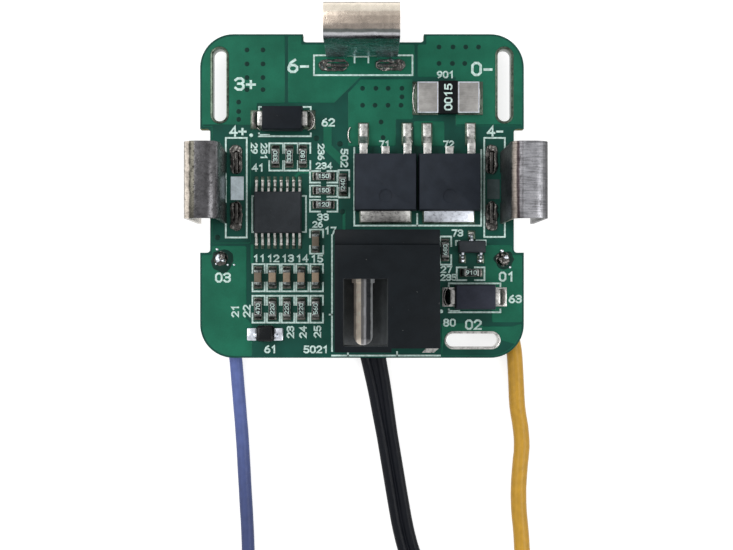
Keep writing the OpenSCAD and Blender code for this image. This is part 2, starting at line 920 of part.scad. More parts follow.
module signal_moulding() {
    lift = 0.05;
    color([0.14, 0.15, 0.16]) on_pads(signal_at) difference() {
        translate([0, 0, lift])
            moulding(signal_w, signal_l, signal_h - lift, small_exit_z - lift + thin_lead_t / 2);
        signal_leads_shape();
    }
}

module signal_leads() {
    color("silver") on_pads(signal_at) signal_leads_shape();
}

// ---------------------------------------------------------------- chip resistors and capacitors

// A ceramic block with a metal cap on each end
module passive(h) {
    translate([0, 0, h / 2]) {
        cube([passive_l - end_l, passive_w - 2 * end_proud, h - 2 * end_proud], center = true);
        for (side = [-1, 1]) {
            translate([side * (passive_l - end_l) / 2, 0, 0])
                cube([end_l, passive_w, h], center = true);
        }
    }
}

module resistor(place) {
    color([0.16, 0.17, 0.18]) on_pads(place, place[2]) passive(resistor_h);
}

module capacitor(place) {
    color([0.45, 0.36, 0.28]) on_pads(place, place[2]) passive(capacitor_h);
}

// ---------------------------------------------------------------- soldered pads

// Two pads under the ends of a part that lies along X
module pad_pair(outside, inside, w) {
    for (side = [-1, 1]) {
        translate([side * (outside + inside) / 4, 0, 0]) pad((outside - inside) / 2, w);
    }
}

module on_top(at, turn = 0) {
    translate([at[0], at[1], top_z]) rotate(turn) children();
}

module power_pads() {
    margin = 0.15;
    foot_l = 2.4;
    lead_end = power_l / 2 + power_lead_l + margin;
    tab_end = power_l / 2 + power_tab_l + margin;
    translate([0, -tab_end / 2, 0]) pad(power_tab_w + 2 * margin, tab_end);
    for (side = [-1, 1]) {
        translate([side * power_lead_gap / 2, lead_end - foot_l / 2, 0])
            pad(power_lead_w + 2 * margin, foot_l);
    }
}

module chip_pads() {
    pad_l = 1.55;
    for (side = [-1, 1]) {
        for (i = [0 : chip_row - 1]) {
            translate([
                (i - (chip_row - 1) / 2) * chip_pitch,
                side * (chip_span / 2 + chip_pad_reach - pad_l / 2),
                0
            ]) pad(chip_lead_w + 0.1, pad_l);
        }
    }
}

module signal_pads() {
    pad_w = 0.75;
    pad_l = 0.95;
    translate([0, signal_span / 2, 0]) pad(pad_w, pad_l);
    for (side = [-1, 1]) {
        translate([side * signal_gap / 2, -signal_span / 2, 0]) pad(pad_w, pad_l);
    }
}

module board_solder() {
    color("lightgray") on_board() {
        for (i = [0, 1]) {
            on_top(power_place(i)) power_pads();
        }
        on_top(shunt_at)
            pad_pair(shunt_l + 2 * shunt_pad_reach, shunt_coat_l, shunt_w + 2 * shunt_pad_side);
        for (place = [rear_diode_at, front_diode_at]) {
            on_top(place) pad_pair(
                diode_l + 2 * diode_pad_reach,
                diode_l - 2 * diode_pad_under,
                diode_lead_w + 2 * diode_pad_side
            );
        }
        on_top(small_diode_at) pad_pair(
            small_diode_l + 2 * small_pad_reach,
            small_diode_l + 2 * small_pad_gap,
            small_pad_w
        );
        on_top(chip_at) chip_pads();
        on_top(signal_at) signal_pads();
        for (place = concat(resistors, capacitors)) {
            on_top(place, place[2]) pad_pair(
                passive_l + 2 * passive_pad_reach,
                passive_l - 2 * end_l - 2 * passive_pad_under,
                passive_w + 2 * passive_pad_side
            );
        }
    }
}

// ---------------------------------------------------------------- leads

// A ring of points about a place on a route, across the way it runs there
function ring(route, i, wide, high, sides) =
    let (
        before = route[max(i - 1, 0)],
        after = route[min(i + 1, len(route) - 1)],
        way = after - before,
        across = [-way[1], way[0], 0] / norm([way[0], way[1]]),
        up = cross(way, across) / norm(cross(way, across))
    )
    [for (k = [0 : sides - 1])
        let (a = 360 * (k + 0.5) / sides)
        route[i] + across * wide * cos(a) + up * high * sin(a)];

// A tube swept along a route, with flat ends
module lead_tube(route, wide, high) {
    sides = 8;
    fit = 1 / cos(180 / sides);
    last = (len(route) - 1) * sides;
    points = [for (i = [0 : len(route) - 1]) each ring(route, i, wide * fit, high * fit, sides)];
    walls = [
        for (i = [0 : len(route) - 2]) for (k = [0 : sides - 1])
            let (a = i * sides + k, b = i * sides + (k + 1) % sides)
            [a, b, b + sides, a + sides]
    ];
    start = [for (k = [sides - 1 : -1 : 0]) k];
    end = [for (k = [0 : sides - 1]) last + k];
    polyhedron(points, concat([start], walls, [end]), convexity = 4);
}

// Flat ring that holds the turns of a coil
module coil_ring(at, r, turns, pitch, wide, high) {
    outside = r + wide / 2;
    inside = r - turns * pitch - wide / 2;
    translate([at[0], at[1], lead_floor]) rotate_extrude($fn = 96)
        translate([inside, 0]) square([outside - inside, high]);
}

// The straight end of a lead inside its coil, along X; side is -1 on the left of the ring
module coil_tail(at, side, y, from, to, d) {
    translate([at[0] + side * from, at[1] + y, lead_floor + d / 2]) rotate([0, -side * 90, 0])
        cylinder(h = from - to, d = d - 0.1);
}

module sense_coil(at, side, d) {
    inner_r = sense_coil_r - sense_turns * (d + turn_gap) - d / 2;
    from = sqrt(inner_r * inner_r - tail_bend_r * tail_bend_r) + d / 2;
    coil_ring(at, sense_coil_r, sense_turns, d + turn_gap, d, d);
    coil_tail(at, side, tail_bend_r, from, bare_from, d);
}

module sense_end(at, side, d) {
    translate([0, 0, d / 2 - core_r])
        coil_tail(at, side, tail_bend_r, bare_from, bare_from - bare_end_l, 2 * core_r);
}

module blue_lead() {
    color("slateblue") on_board() lead_tube(blue_route, blue_d / 2, blue_d / 2);
}

module yellow_lead() {
    color("goldenrod") on_board() lead_tube(yellow_route, yellow_d / 2, yellow_d / 2);
}

module twin_lead() {
    color([0.1, 0.11, 0.12]) on_board() lead_tube(twin_route, twin_d, twin_d / 2);
}

module blue_coil() {
    color("slateblue") on_board() sense_coil([blue_coil_x, coil_y], -1, blue_d);
}

module blue_end() {
    color("silver") on_board() sense_end([blue_coil_x, coil_y], -1, blue_d);
}

module yellow_coil() {
    color("goldenrod") on_board() sense_coil([yellow_coil_x, coil_y], 1, yellow_d);
}

module yellow_end() {
    color("silver") on_board() sense_end([yellow_coil_x, coil_y], 1, yellow_d);
}

module twin_coil() {
    inner_r = twin_coil_r - twin_turns * (2 * twin_d + turn_gap) - twin_d;
    from = sqrt(inner_r * inner_r - twin_bend_r * twin_bend_r) + twin_d / 2;
    color([0.1, 0.11, 0.12]) on_board() {
        coil_ring(twin_coil_at, twin_coil_r, twin_turns, 2 * twin_d + turn_gap, 2 * twin_d, twin_d);
        translate([twin_coil_at[0] + bead_from, twin_coil_at[1] - twin_bend_r - twin_d, lead_floor])
            cube([from - bead_from, 2 * twin_d, twin_d]);
    }
}

// The thermistor's dipped bead, a drop that tapers to the lead
module thermistor_bead() {
    r = bead_d / 2;
    color([0.08, 0.08, 0.09]) on_board()
        translate([twin_coil_at[0] + bead_from, twin_coil_at[1] - twin_bend_r, r + lead_floor])
            rotate([0, -90, 0]) {
                translate([0, 0, bead_l - r]) sphere(r);
                cylinder(h = bead_l - r, r1 = twin_d / 2, r2 = r);
            }
}

// Solder domes that hold the leads' conductors, and the conductors out to the leads
module lead_joints() {
    top_cap = 0.5;
    low_cap = 0.95;
    color("lightgray") on_board() {
        sense_joint(-lead_hole_x, blue_route[0], top_cap, low_cap);
        sense_joint(lead_hole_x, yellow_route[0], top_cap, low_cap);
        for (side = [-1, 1]) {
            x = twin_route[0][0] + side * twin_d / 2;
            translate([x, twin_joint_y, under_z]) dome(-1, low_cap, twin_dome_r);
            conductor(x, twin_joint_y, twin_route[0]);
        }
    }
}

module sense_joint(x, start, top_cap, low_cap) {
    translate([x, lead_hole_y, top_z]) dome(1, top_cap, dome_r);
    translate([x, lead_hole_y, under_z]) {
        cylinder(h = board_t, r = lead_hole_r);
        dome(-1, low_cap, dome_r);
    }
    conductor(x, lead_hole_y, start);
}

// Bare conductor from a joint straight back to the end of the lead's jacket
module conductor(x, y, start) {
    translate([x, start[1], start[2]]) rotate([-90, 0, 0]) cylinder(h = y - start[1], r = core_r);
}

// A cap cut from a ball: way is 1 above the board and -1 below it
module dome(way, h, r) {
    ball_r = (r * r + h * h) / (2 * h);
    intersection() {
        translate([0, 0, way * (h - ball_r)]) sphere(ball_r);
        translate([-2 * r, -2 * r, way > 0 ? 0 : -2 * r]) cube([4 * r, 4 * r, 2 * r]);
    }
}

// ---------------------------------------------------------------- the pieces

circuit_board();
strap_slot_plating();
board_solder();
left_contact();
right_contact();
rear_contact();
contact_solder();
jack_housing();
jack_rear_cover();
jack_pin();
jack_spring();
jack_switch_contact();
jack_solder();
for (i = [0, 1]) {
    power_moulding(i);
    power_frame(i);
}
shunt_strip();
shunt_coating();
rear_diode_moulding();
rear_diode_leads();
front_diode_moulding();
front_diode_leads();
small_diode_moulding();
small_diode_leads();
control_chip_moulding();
control_chip_leads();
signal_moulding();
signal_leads();
for (i = [1 : resistor_count]) {
    resistor(resistors[i - 1]);
}
for (i = [1 : capacitor_count]) {
    capacitor(capacitors[i - 1]);
}
lead_joints();
blue_lead();
blue_coil();
blue_end();
yellow_lead();
yellow_coil();
yellow_end();
twin_lead();
twin_coil();
thermistor_bead();
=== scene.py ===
"""Looks of the battery management board: an add-on's layout, run as a script.

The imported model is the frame. Each operator finishes one piece or one group of like
pieces: the board's mask and print, the contacts, the jack, the parts, the solder, the
leads and the stage. Every length in the builders is in millimetres about the board's
centre, and new_piece() carries it into the frame, in metres.
"""

import math
import random

import bmesh
import bpy
from bpy.props import FloatProperty, FloatVectorProperty, PointerProperty
from bpy.types import Operator, Panel, PropertyGroup
from mathutils import Matrix, Vector, noise


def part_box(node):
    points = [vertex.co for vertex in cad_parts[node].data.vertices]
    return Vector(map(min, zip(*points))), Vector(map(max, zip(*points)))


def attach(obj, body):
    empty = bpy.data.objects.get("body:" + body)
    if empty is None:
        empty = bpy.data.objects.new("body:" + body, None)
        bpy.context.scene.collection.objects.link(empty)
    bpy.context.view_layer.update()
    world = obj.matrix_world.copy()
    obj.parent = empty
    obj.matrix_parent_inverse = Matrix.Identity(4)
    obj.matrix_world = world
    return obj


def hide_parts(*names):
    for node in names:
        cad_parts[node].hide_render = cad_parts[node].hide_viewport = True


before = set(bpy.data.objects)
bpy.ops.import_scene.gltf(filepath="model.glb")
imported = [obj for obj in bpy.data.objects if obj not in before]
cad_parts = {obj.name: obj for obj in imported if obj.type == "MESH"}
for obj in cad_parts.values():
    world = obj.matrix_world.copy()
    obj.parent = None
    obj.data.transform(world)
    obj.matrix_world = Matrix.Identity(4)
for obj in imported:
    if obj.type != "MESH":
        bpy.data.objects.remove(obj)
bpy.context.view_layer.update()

bl_info = {
    "name": "Battery management board",
    "version": (1, 0, 0),
    "blender": (4, 5, 0),
    "location": "3D View > Sidebar > Board",
    "description": "Finishes the packed board's mask, print, contacts, jack, parts and leads",
    "category": "Object",
}

MM = 0.001
BODY = "root"

# The board's place in the frame: its centre, and the heights of its two faces in mm.
BOARD_LOW, BOARD_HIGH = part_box("circuit_board")
BOARD_MIDDLE = (BOARD_LOW + BOARD_HIGH) / 2
UNDER_Z = BOARD_LOW.z / MM
TOP_Z = BOARD_HIGH.z / MM
TO_FRAME = Matrix.Translation((BOARD_MIDDLE.x, BOARD_MIDDLE.y, 0)) @ Matrix.Scale(MM, 4)
FROM_FRAME = TO_FRAME.inverted()


# Settings that a user can change


def length(name, description, millimetres):
    """A length setting, with its default in millimetres."""
    return FloatProperty(
        name=name, description=description, default=millimetres * MM, min=0,
        unit="LENGTH", precision=5,
    )


def level(name, description, value, high):
    """A plain number from nothing up to a top value."""
    return FloatProperty(name=name, description=description, default=value, min=0, max=high)


def colour(name, description, red, green, blue):
    """A colour setting, with its default as it looks on screen, 0 to 255."""
    return FloatVectorProperty(
        name=name, description=description, subtype="COLOR_GAMMA", size=3, min=0, max=1,
        default=(red / 255, green / 255, blue / 255),
    )


class BoardColours(PropertyGroup):
    """Colours of the board, its parts and its leads."""

    mask_pour: colour("Mask on copper", "Solder mask where copper lies under it", 24, 99, 76)
    mask_bare: colour("Mask on laminate", "Solder mask where no copper lies under it", 15, 70, 59)
    mask_deep: colour("Mask in shade", "Mask over vias and round the leads' joints", 8, 48, 40)
    laminate: colour("Laminate", "Routed edges of the board", 128, 128, 84)
    ink: colour("Print", "Printed marks on the mask", 200, 226, 219)
    ink_block: colour("White block", "Bare printed block by the left contact", 204, 218, 224)
    # Painted shade: the same print as the white block, darkened for the right contact's shadow.
    stained_block: colour("Stained block", "Printed block under the right contact", 69, 82, 82)
    tin: colour("Tin", "Tinned leads and ends", 205, 204, 200)
    dull_tin: colour("Dull tin", "Tinned pads and rims with flux left on them", 122, 127, 126)
    end_tin: colour("End tin", "Ends of the chip resistors and capacitors", 138, 140, 138)
    # Painted shade: tin darkened for the shade and the dark that the rims and pads mirror.
    olive_tin: colour("Stained tin", "Rims and pads stained by the mask", 84, 96, 84)
    # Painted highlight: tin made brighter than the plain tin to stand for the light it catches.
    cold_tin: colour("Cold tin", "Tin of the right power transistor's tab", 232, 237, 246)
    solder: colour("Solder", "Soldered joints", 196, 194, 188)
    # Partly painted reflection: solder dulled by flux, and darker still to stand for the dark that
    # its domes mirror.
    dull_solder: colour("Dull solder", "Solder round the contacts' tabs", 92, 90, 87)
    shunt: colour("Shunt", "Bare metal of the shunt", 160, 158, 155)
    # Painted shade: the springs' bronze is darkened for the shade inside the bore.
    bronze: colour("Spring", "Contact strips of the jack", 84, 76, 66)
    # Painted light: the bore's walls are the case's black plastic, painted much lighter to stand
    # for the light that reaches inside.
    jack_inside: colour("Jack's inside", "Walls of the jack's bore, in the shade", 88, 92, 94)
    jack: colour("Jack", "Moulded case of the jack", 15, 20, 24)
    moulding: colour("Moulding", "Moulded bodies of the power transistors", 40, 45, 53)
    chip: colour("Chip", "Moulded bodies of the control chip and signal transistor", 53, 57, 61)
    diode: colour("Diode", "Moulded bodies of the diodes", 20, 25, 31)
    front_diode: colour("Front diode", "Moulded body of the front diode", 48, 51, 62)
    coating: colour("Coating", "Coated middle of the shunt", 10, 14, 17)
    alumina: colour("Resistor body", "Ceramic of the chip resistors", 214, 214, 208)
    glaze: colour("Resistor top", "Glazed top of the chip resistors", 38, 42, 44)
    dielectric: colour("Capacitor body", "Ceramic of the chip capacitors", 153, 136, 117)
    dark_dielectric: colour("Dark capacitor", "Ceramic of the two darker ones", 112, 102, 89)
    blue: colour("Blue lead", "Jacket of the blue sense lead", 92, 107, 165)
    yellow: colour("Yellow lead", "Jacket of the yellow sense lead", 190, 144, 44)
    black: colour("Twin lead", "Jacket of the thermistor's twin lead", 15, 18, 25)
    resin: colour("Bead", "Resin of the thermistor's bead", 24, 24, 26)
    dust: colour("Dust", "Pale specks on moulded parts", 173, 175, 173)
    floor: colour("Floor", "Studio floor", 186, 186, 186)


class PrintSizes(PropertyGroup):
    """Sizes of the board's print and mask relief."""

    line: length("Line", "Width of a printed line", 0.17)
    ink: length("Ink", "Thickness of the printed ink", 0.022)
    relief: length("Relief", "Step of the mask over the copper", 0.035)
    slope: length("Slope", "Width of that step's slope", 0.07)
    via: length("Via", "Outer radius of a covered via", 0.3)


class EdgeSizes(PropertyGroup):
    """How far edges are rounded."""

    sheet: length("Sheet", "Rounding of the contacts' sheet edges", 0.07)
    case: length("Case", "Rounding of the jack's edges", 0.14)
    moulding: length("Moulding", "Rounding of moulded bodies", 0.06)
    metal: length("Leads", "Rounding of leads and small metal", 0.04)


class LeadSizes(PropertyGroup):
    """Diameters and real lengths of the three leads."""

    blue_diameter: length("Blue diameter", "Diameter of the blue lead", 1.4)
    blue_length: length("Blue length", "Length of the blue lead's jacket", 118)
    yellow_diameter: length("Yellow diameter", "Diameter of the yellow lead", 1.7)
    yellow_length: length("Yellow length", "Length of the yellow lead's jacket", 118)
    twin_core: length("Core diameter", "Diameter of each core of the twin lead", 1.15)
    twin_length: length("Twin length", "Length of the twin lead to its bead", 126)


class StudioSetup(PropertyGroup):
    """The camera's height and the level of the lights."""

    height: length("Height", "Camera above the board's top", 150)
    lens: level("Lens", "Focal length in millimetres on a 36 mm sensor", 70.13, 200)
    sky: level("Sky", "Level of the even light from all round", 0.62, 4)
    key: level("Key", "Power of the large lamp on the left, in watts", 1.5, 20)
    fill: level("Fill", "Power of the large lamp on the right, in watts", 1.0, 20)


# Shader maths


def linear(shown):
    """A colour as it looks on screen, 0 to 1, turned into the light it stands for."""
    light = [c / 12.92 if c <= 0.04045 else ((c + 0.055) / 1.055) ** 2.4 for c in shown]
    return (*light, 1.0)


def shade(name, factor=1.0):
    """A colour from the settings, lighter or darker by a factor."""
    r, g, b, a = linear(getattr(bpy.context.scene.board_colours, name))
    return (r * factor, g * factor, b * factor, a)


class Wire:
    """A shader socket that takes part in Python sums."""

    def __init__(self, finish, socket):
        self.finish = finish
        self.socket = socket

    def math(self, operation, *values):
        return self.finish.node(
            "ShaderNodeMath", {"operation": operation}, dict(enumerate(values))
        )

    def __add__(self, other):
        return self.math("ADD", self, other)

    __radd__ = __add__

    def __sub__(self, other):
        return self.math("SUBTRACT", self, other)

    def __rsub__(self, other):
        return self.math("SUBTRACT", other, self)

    def __mul__(self, other):
        return self.math("MULTIPLY", self, other)

    __rmul__ = __mul__

    def __gt__(self, other):
        return self.math("GREATER_THAN", self, other)

    def __lt__(self, other):
        return self.math("LESS_THAN", self, other)

    def size(self):
        return self.math("ABSOLUTE", self)

    def wave(self):
        return self.math("SINE", self)

    def ramp(self, low, high):
        """Nought up to low, one from high, and even between."""
        return self.finish.node(
            "ShaderNodeMapRange", {"interpolation_type": "SMOOTHSTEP"},
            {"Value": self, "From Min": low, "From Max": high},
        )


class Finish:
    """The nodes of one material or sky, with the patterns that they share."""

    def __init__(self, tree):
        self.tree = tree
        tree.nodes.clear()

    def node(self, kind, settings=None, sockets=None, output=0):
        """Adds a node: its settings first, then the values or links of its sockets."""
        made = self.tree.nodes.new(kind)
        for key, value in (settings or {}).items():
            setattr(made, key, value)
        for key, value in (sockets or {}).items():
            if isinstance(value, Wire):
                self.tree.links.new(value.socket, made.inputs[key])
            else:
                made.inputs[key].default_value = value
        return Wire(self, made.outputs[output]) if made.outputs else made

    def place(self):
        """Places on the piece, in millimetres about the board's centre."""
        spot = self.node("ShaderNodeTexCoord", output="Object")
        spot = self.node("ShaderNodeVectorMath", {"operation": "SUBTRACT"}, {
            0: spot, 1: (BOARD_MIDDLE.x, BOARD_MIDDLE.y, 0)})
        return self.node(
            "ShaderNodeVectorMath", {"operation": "SCALE"}, {0: spot, "Scale": 1 / MM}
        )

    def axis(self, spot, letter):
        return self.node("ShaderNodeSeparateXYZ", sockets={0: spot}, output=letter)

    def stretch(self, spot, x, y, z):
        return self.node(
            "ShaderNodeVectorMath", {"operation": "MULTIPLY"}, {0: spot, 1: (x, y, z)}
        )

    def cloud(self, spot, per_mm, detail, rough=0.55):
        """Soft random patches, about per_mm of them in a millimetre, with finer ones inside."""
        return self.node("ShaderNodeTexNoise", sockets={
            "Vector": spot, "Scale": per_mm, "Detail": detail, "Roughness": rough})

    def grains(self, spot, per_mm):
        """Distance to the nearest of scattered points."""
        return self.node("ShaderNodeTexVoronoi", sockets={"Vector": spot, "Scale": per_mm})

    def mix(self, factor, first, second):
        """Colours mixed by a factor."""
        return self.node(
            "ShaderNodeMix", {"data_type": "RGBA"}, {0: factor, 6: first, 7: second}, output=2
        )

    def tones(self, factor, name, low, high):
        """One colour between two of its shades by a factor."""
        return self.mix(factor, shade(name, low), shade(name, high))

    def dim(self, factor, base, by):
        """A colour darkened by a factor, down to the share by."""
        return self.node(
            "ShaderNodeMix", {"data_type": "RGBA", "blend_type": "MULTIPLY"},
            {0: factor, 6: base, 7: (by, by, by, 1)}, output=2,
        )

    def bands(self, along, painted_light_table, blur):
        """Colours that follow each other along an axis, each from its start: painted highlights,
        reflections and shade.
        """
        tones = [(start, linear([c / 255 for c in shown])) for start, shown in painted_light_table]
        base = tones[0][1]
        for start, tone in tones[1:]:
            base = self.mix(along.ramp(start - blur, start + blur), base, tone)
        return base

    def bump(self, height, strength, distance):
        return self.node("ShaderNodeBump", sockets={
            "Height": height, "Strength": strength, "Distance": distance * MM})

    def looked_at(self):
        """One for rays from the camera, a mirror or glass, and nought for those that light."""
        seen, mirrored, through = (
            self.node("ShaderNodeLightPath", output=f"Is {kind} Ray")
            for kind in ("Camera", "Glossy", "Transmission")
        )
        return seen + mirrored + through

    def surface(self, base, **sockets):
        """The Principled shader and the output; underscores stand for spaces."""
        inputs = {"Base Color": base}
        for key, value in sockets.items():
            inputs[key.replace("_", " ")] = value
        made = self.node("ShaderNodeBsdfPrincipled", sockets=inputs)
        self.node("ShaderNodeOutputMaterial", sockets={"Surface": made})


# Finishes. Each maker fills in the nodes of one material.


def solder_mask(f, shown):
    """Green solder mask: glossy, a little uneven, with the glass weave just showing."""
    spot = f.place()
    patches = f.cloud(spot, 0.35, 2)
    fine = f.cloud(spot, 6, 4)
    weave = (f.axis(spot, "X") * 9).wave() + (f.axis(spot, "Y") * 8).wave()
    base = f.tones((patches * 0.7 + fine * 0.3).ramp(0.3, 0.75), shown, 0.82, 1.18)
    f.surface(
        base, Roughness=0.3 + patches * 0.16, Specular_IOR_Level=0.16,
        Normal=f.bump(fine * 0.5 + weave * 0.05, 0.25, 0.03),
    )


def masked_laminate(f):
    """Mask on the two faces, and bare routed laminate on the edges."""
    spot = f.place()
    patches = f.cloud(spot, 0.3, 2)
    fine = f.cloud(spot, 6, 4)
    on_face = f.axis(f.node("ShaderNodeNewGeometry", output="Normal"), "Z").size() > 0.5
    green = f.tones(patches.ramp(0.3, 0.7), "mask_bare", 0.85, 1.2)
    layers = (f.axis(spot, "Z") * 24).wave() * 0.5 + 0.5
    fibres = f.cloud(f.stretch(spot, 5, 5, 22), 1.2, 4)
    edge = f.tones(layers * 0.4 + fibres * 0.6, "laminate", 0.6, 1.25)
    f.surface(
        f.mix(on_face, edge, green), Roughness=0.75 - on_face * 0.38, Specular_IOR_Level=0.16,
        Normal=f.bump(fine * on_face + fibres * (1 - on_face), 0.35, 0.04),
    )


def printed_ink(f):
    """Matt printed ink, thinner in places so that the mask tints it."""
    blot = f.cloud(f.place(), 3.5, 4)
    base = f.tones(blot.ramp(0.35, 0.62), "ink", 0.72, 1.08)
    f.surface(base, Roughness=0.6 + blot * 0.2, Normal=f.bump(blot, 0.3, 0.02))


def plated_sheet(f, letter, painted_light_table, ripple, flecks, worn, rough):
    """Nickel plated spring sheet: painted reflections and highlights in bands, rolling lines,
    flecks and darker patches.
    """
    spot = f.place()
    lines = f.cloud(f.stretch(spot, *ripple), 1, 4, 0.6)
    patches = f.cloud(spot, 0.9, 4)
    pits = f.grains(spot, 2.6).ramp(0.05, 0.3)
    blots = f.cloud(spot, 3.2, 5, 0.75).ramp(0.5, 0.66)
    outward = f.axis(spot, letter).size() + (patches - 0.5) * 0.22
    # Painted reflections and highlights: the bands stand for what the sheet's bends and faces
    # mirror.
    base = f.bands(outward, painted_light_table, 0.09)
    base = f.dim((patches * 0.4 + lines * 0.6).ramp(0.62, 0.32), base, worn)
    base = f.dim(blots * flecks, base, 0.3)
    f.surface(
        base, Metallic=1.0, Roughness=rough + blots * 0.22 + patches * 0.1,
        Normal=f.bump(lines * 0.8 + pits * 0.2, 0.45, 0.05),
    )


def tin(f, shown, low, relief):
    """Tin with a soft crystalline grain and darker patches, down to the share low."""
    spot = f.place()
    grain = f.grains(spot, 7)
    patches = f.cloud(spot, 2.6, 4, 0.65)
    base = f.tones(patches.ramp(0.34, 0.62), shown, low, 1.1)
    f.surface(
        base, Metallic=1.0, Roughness=0.2 + patches * 0.2,
        Normal=f.bump(grain * 0.4 + patches * 0.6, relief, 0.04),
    )


def solder(f, shown, dull):
    """Flowed solder: lumpy, with painted highlights on the crests, and dark flux patches that also
    paint dark reflections.
    """
    spot = f.place()
    lumps = f.cloud(spot, 2.0, 3)
    fine = f.cloud(spot, 9, 3)
    flux = f.cloud(spot, 1.3, 4).ramp(0.5, 0.72)
    # Painted highlight: lighter where the lumps rise.
    base = f.tones(lumps.ramp(0.3, 0.7), shown, 0.6, 1.25)
    # Dark flux patches, which also stand for painted dark reflections.
    base = f.mix(flux * dull, base, shade(shown, 0.28))
    f.surface(
        base, Metallic=1.0, Roughness=0.13 + flux * 0.25 * dull + fine * 0.1,
        Normal=f.bump(lumps * 0.8 + fine * 0.2, 0.7, 0.12),
    )


def shunt_metal(f):
    """Rolled resistance alloy with fine crossing scratches."""
    spot = f.place()
    rolled = f.cloud(f.stretch(spot, 1.2, 14, 1.2), 1, 3)
    crossed = f.cloud(f.stretch(spot, 9, 1.4, 2), 1, 3)
    patches = f.cloud(spot, 1.4, 4)
    base = f.tones((rolled * 0.4 + patches * 0.6).ramp(0.3, 0.7), "shunt", 0.74, 1.1)
    f.surface(
        base, Metallic=1.0, Roughness=0.34 + rolled * 0.14,
        Normal=f.bump(rolled * 0.6 + crossed * 0.4, 0.3, 0.02),
    )


def plated_pin(f):
    """Turned and nickel plated pin: fine rings round it, painted highlight and shade in bands
    across it, and a faint painted glow.
    """
    spot = f.place()
    rings = f.cloud(f.stretch(spot, 0.4, 9, 0.4), 1, 3)
    patches = f.cloud(spot, 1.1, 3)
    # Painted highlight and shade: bands across the pin.
    base = f.bands(f.axis(spot, "X") + (patches - 0.5) * 0.1, PIN_PAINTED_LIGHT, 0.05)
    base = f.dim(patches.ramp(0.7, 0.35), base, 0.8)
    # The pin glows faintly in its own painted bands: painted light, not a lamp.
    f.surface(
        base, Metallic=0.12, Roughness=0.24 + patches * 0.1, Normal=f.bump(rings, 0.25, 0.02),
        Emission_Color=base, Emission_Strength=0.16,
    )


def spring_bronze(f):
    """Rolled bronze strip, painted dark to stand for the shade inside the jack's bore."""
    rolled = f.cloud(f.stretch(f.place(), 8, 1, 1), 1, 3)
    base = f.tones(rolled.ramp(0.3, 0.7), "bronze", 0.7, 1.1)
    f.surface(
        base, Metallic=1.0, Roughness=0.25 + rolled * 0.15, Normal=f.bump(rolled, 0.3, 0.02)
    )


def moulded(f, shown, rough, grain_size, dust, glint):
    """Moulded plastic, ceramic or resin: fine eroded grain and a little pale dust."""
    spot = f.place()
    grain = f.cloud(spot, grain_size, 4, 0.7)
    patches = f.cloud(spot, 0.8, 3)
    specks = (f.grains(spot, 1.6) < 0.045) * (f.cloud(spot, 0.9, 1) > 0.55)
    base = f.tones((patches * 0.5 + grain * 0.5).ramp(0.3, 0.7), shown, 0.78, 1.22)
    base = f.mix(specks * dust, base, shade("dust"))
    f.surface(
        base, Roughness=rough + patches * 0.12, Normal=f.bump(grain, 0.4, 0.03),
        Specular_IOR_Level=glint,
    )


def jacket(f, shown, rough, coat, turn, relief, glint, far_shade_paint):
    """Soft extruded jacket: drawn lines turned along it, handling marks, and painted shade, darker
    far from the board.
    """
    spot = f.place()
    along = f.node(
        "ShaderNodeVectorRotate", {"rotation_type": "Z_AXIS"},
        {"Vector": spot, "Angle": math.radians(turn)},
    )
    drawn = f.cloud(f.stretch(along, 6, 0.22, 6), 1, 4)
    marks = f.cloud(spot, 1.3, 4)
    base = f.tones((drawn * 0.4 + marks * 0.6).ramp(0.3, 0.7), shown, 0.86, 1.1)
    # Painted shade: darker from the board outward.
    near_board = f.axis(spot, "Y").ramp(-36, -16)
    f.surface(
        f.dim(1 - near_board, base, far_shade_paint), Roughness=rough + marks * 0.14,
        Normal=f.bump(drawn * 0.7 + marks * 0.3, relief, 0.08),
        Coat_Weight=coat, Coat_Roughness=0.2, Specular_IOR_Level=glint,
    )


def floor_paper(f):
    """Pale floor that stays white to the eye and keeps the shadow."""
    paper = f.node("ShaderNodeBsdfDiffuse", sockets={"Color": shade("floor")})
    glow = f.node("ShaderNodeEmission", sockets={
        "Color": (1, 1, 1, 1), "Strength": f.looked_at() * 0.74})
    both = f.node("ShaderNodeAddShader", sockets={0: paper, 1: glow})
    f.node("ShaderNodeOutputMaterial", sockets={"Surface": both})


# Painted reflections and highlights in bands across a contact's sheet: where each starts, in
# millimetres from the board's middle, and its tone. The sheet runs from the inner leg over the
# arch to the outer leg.
LEFT_REFLECTION_PAINT = (
    (0, (24, 30, 30)), (13.7, (158, 160, 163)), (14.08, (103, 102, 104)),
    (16.2, (86, 84, 76)), (16.72, (222, 211, 198)), (17.2, (96, 92, 84)),
)
RIGHT_REFLECTION_PAINT = (
    (0, (96, 100, 104)), (14.62, (186, 175, 166)), (15.02, (62, 54, 56)),
    (15.3, (116, 115, 118)), (15.65, (166, 166, 170)), (17.55, (126, 126, 129)),
    (17.82, (80, 80, 82)),
)
REAR_REFLECTION_PAINT = (
    (0, (190, 237, 247)), (14.55, (124, 124, 130)), (14.84, (200, 201, 205)),
    (15.1, (104, 108, 106)), (15.42, (165, 154, 144)), (15.95, (192, 178, 164)),
    (16.7, (218, 204, 188)), (17.1, (238, 228, 212)), (18.05, (96, 90, 84)),
)
# Painted highlight and shade across the jack's pin, from its left side to its right side.
PIN_PAINTED_LIGHT = (
    (-2, (176, 166, 156)), (-0.56, (255, 242, 224)), (-0.08, (128, 126, 126)),
    (0.2, (188, 188, 192)), (0.44, (72, 74, 78)), (0.9, (215, 219, 221)),
)

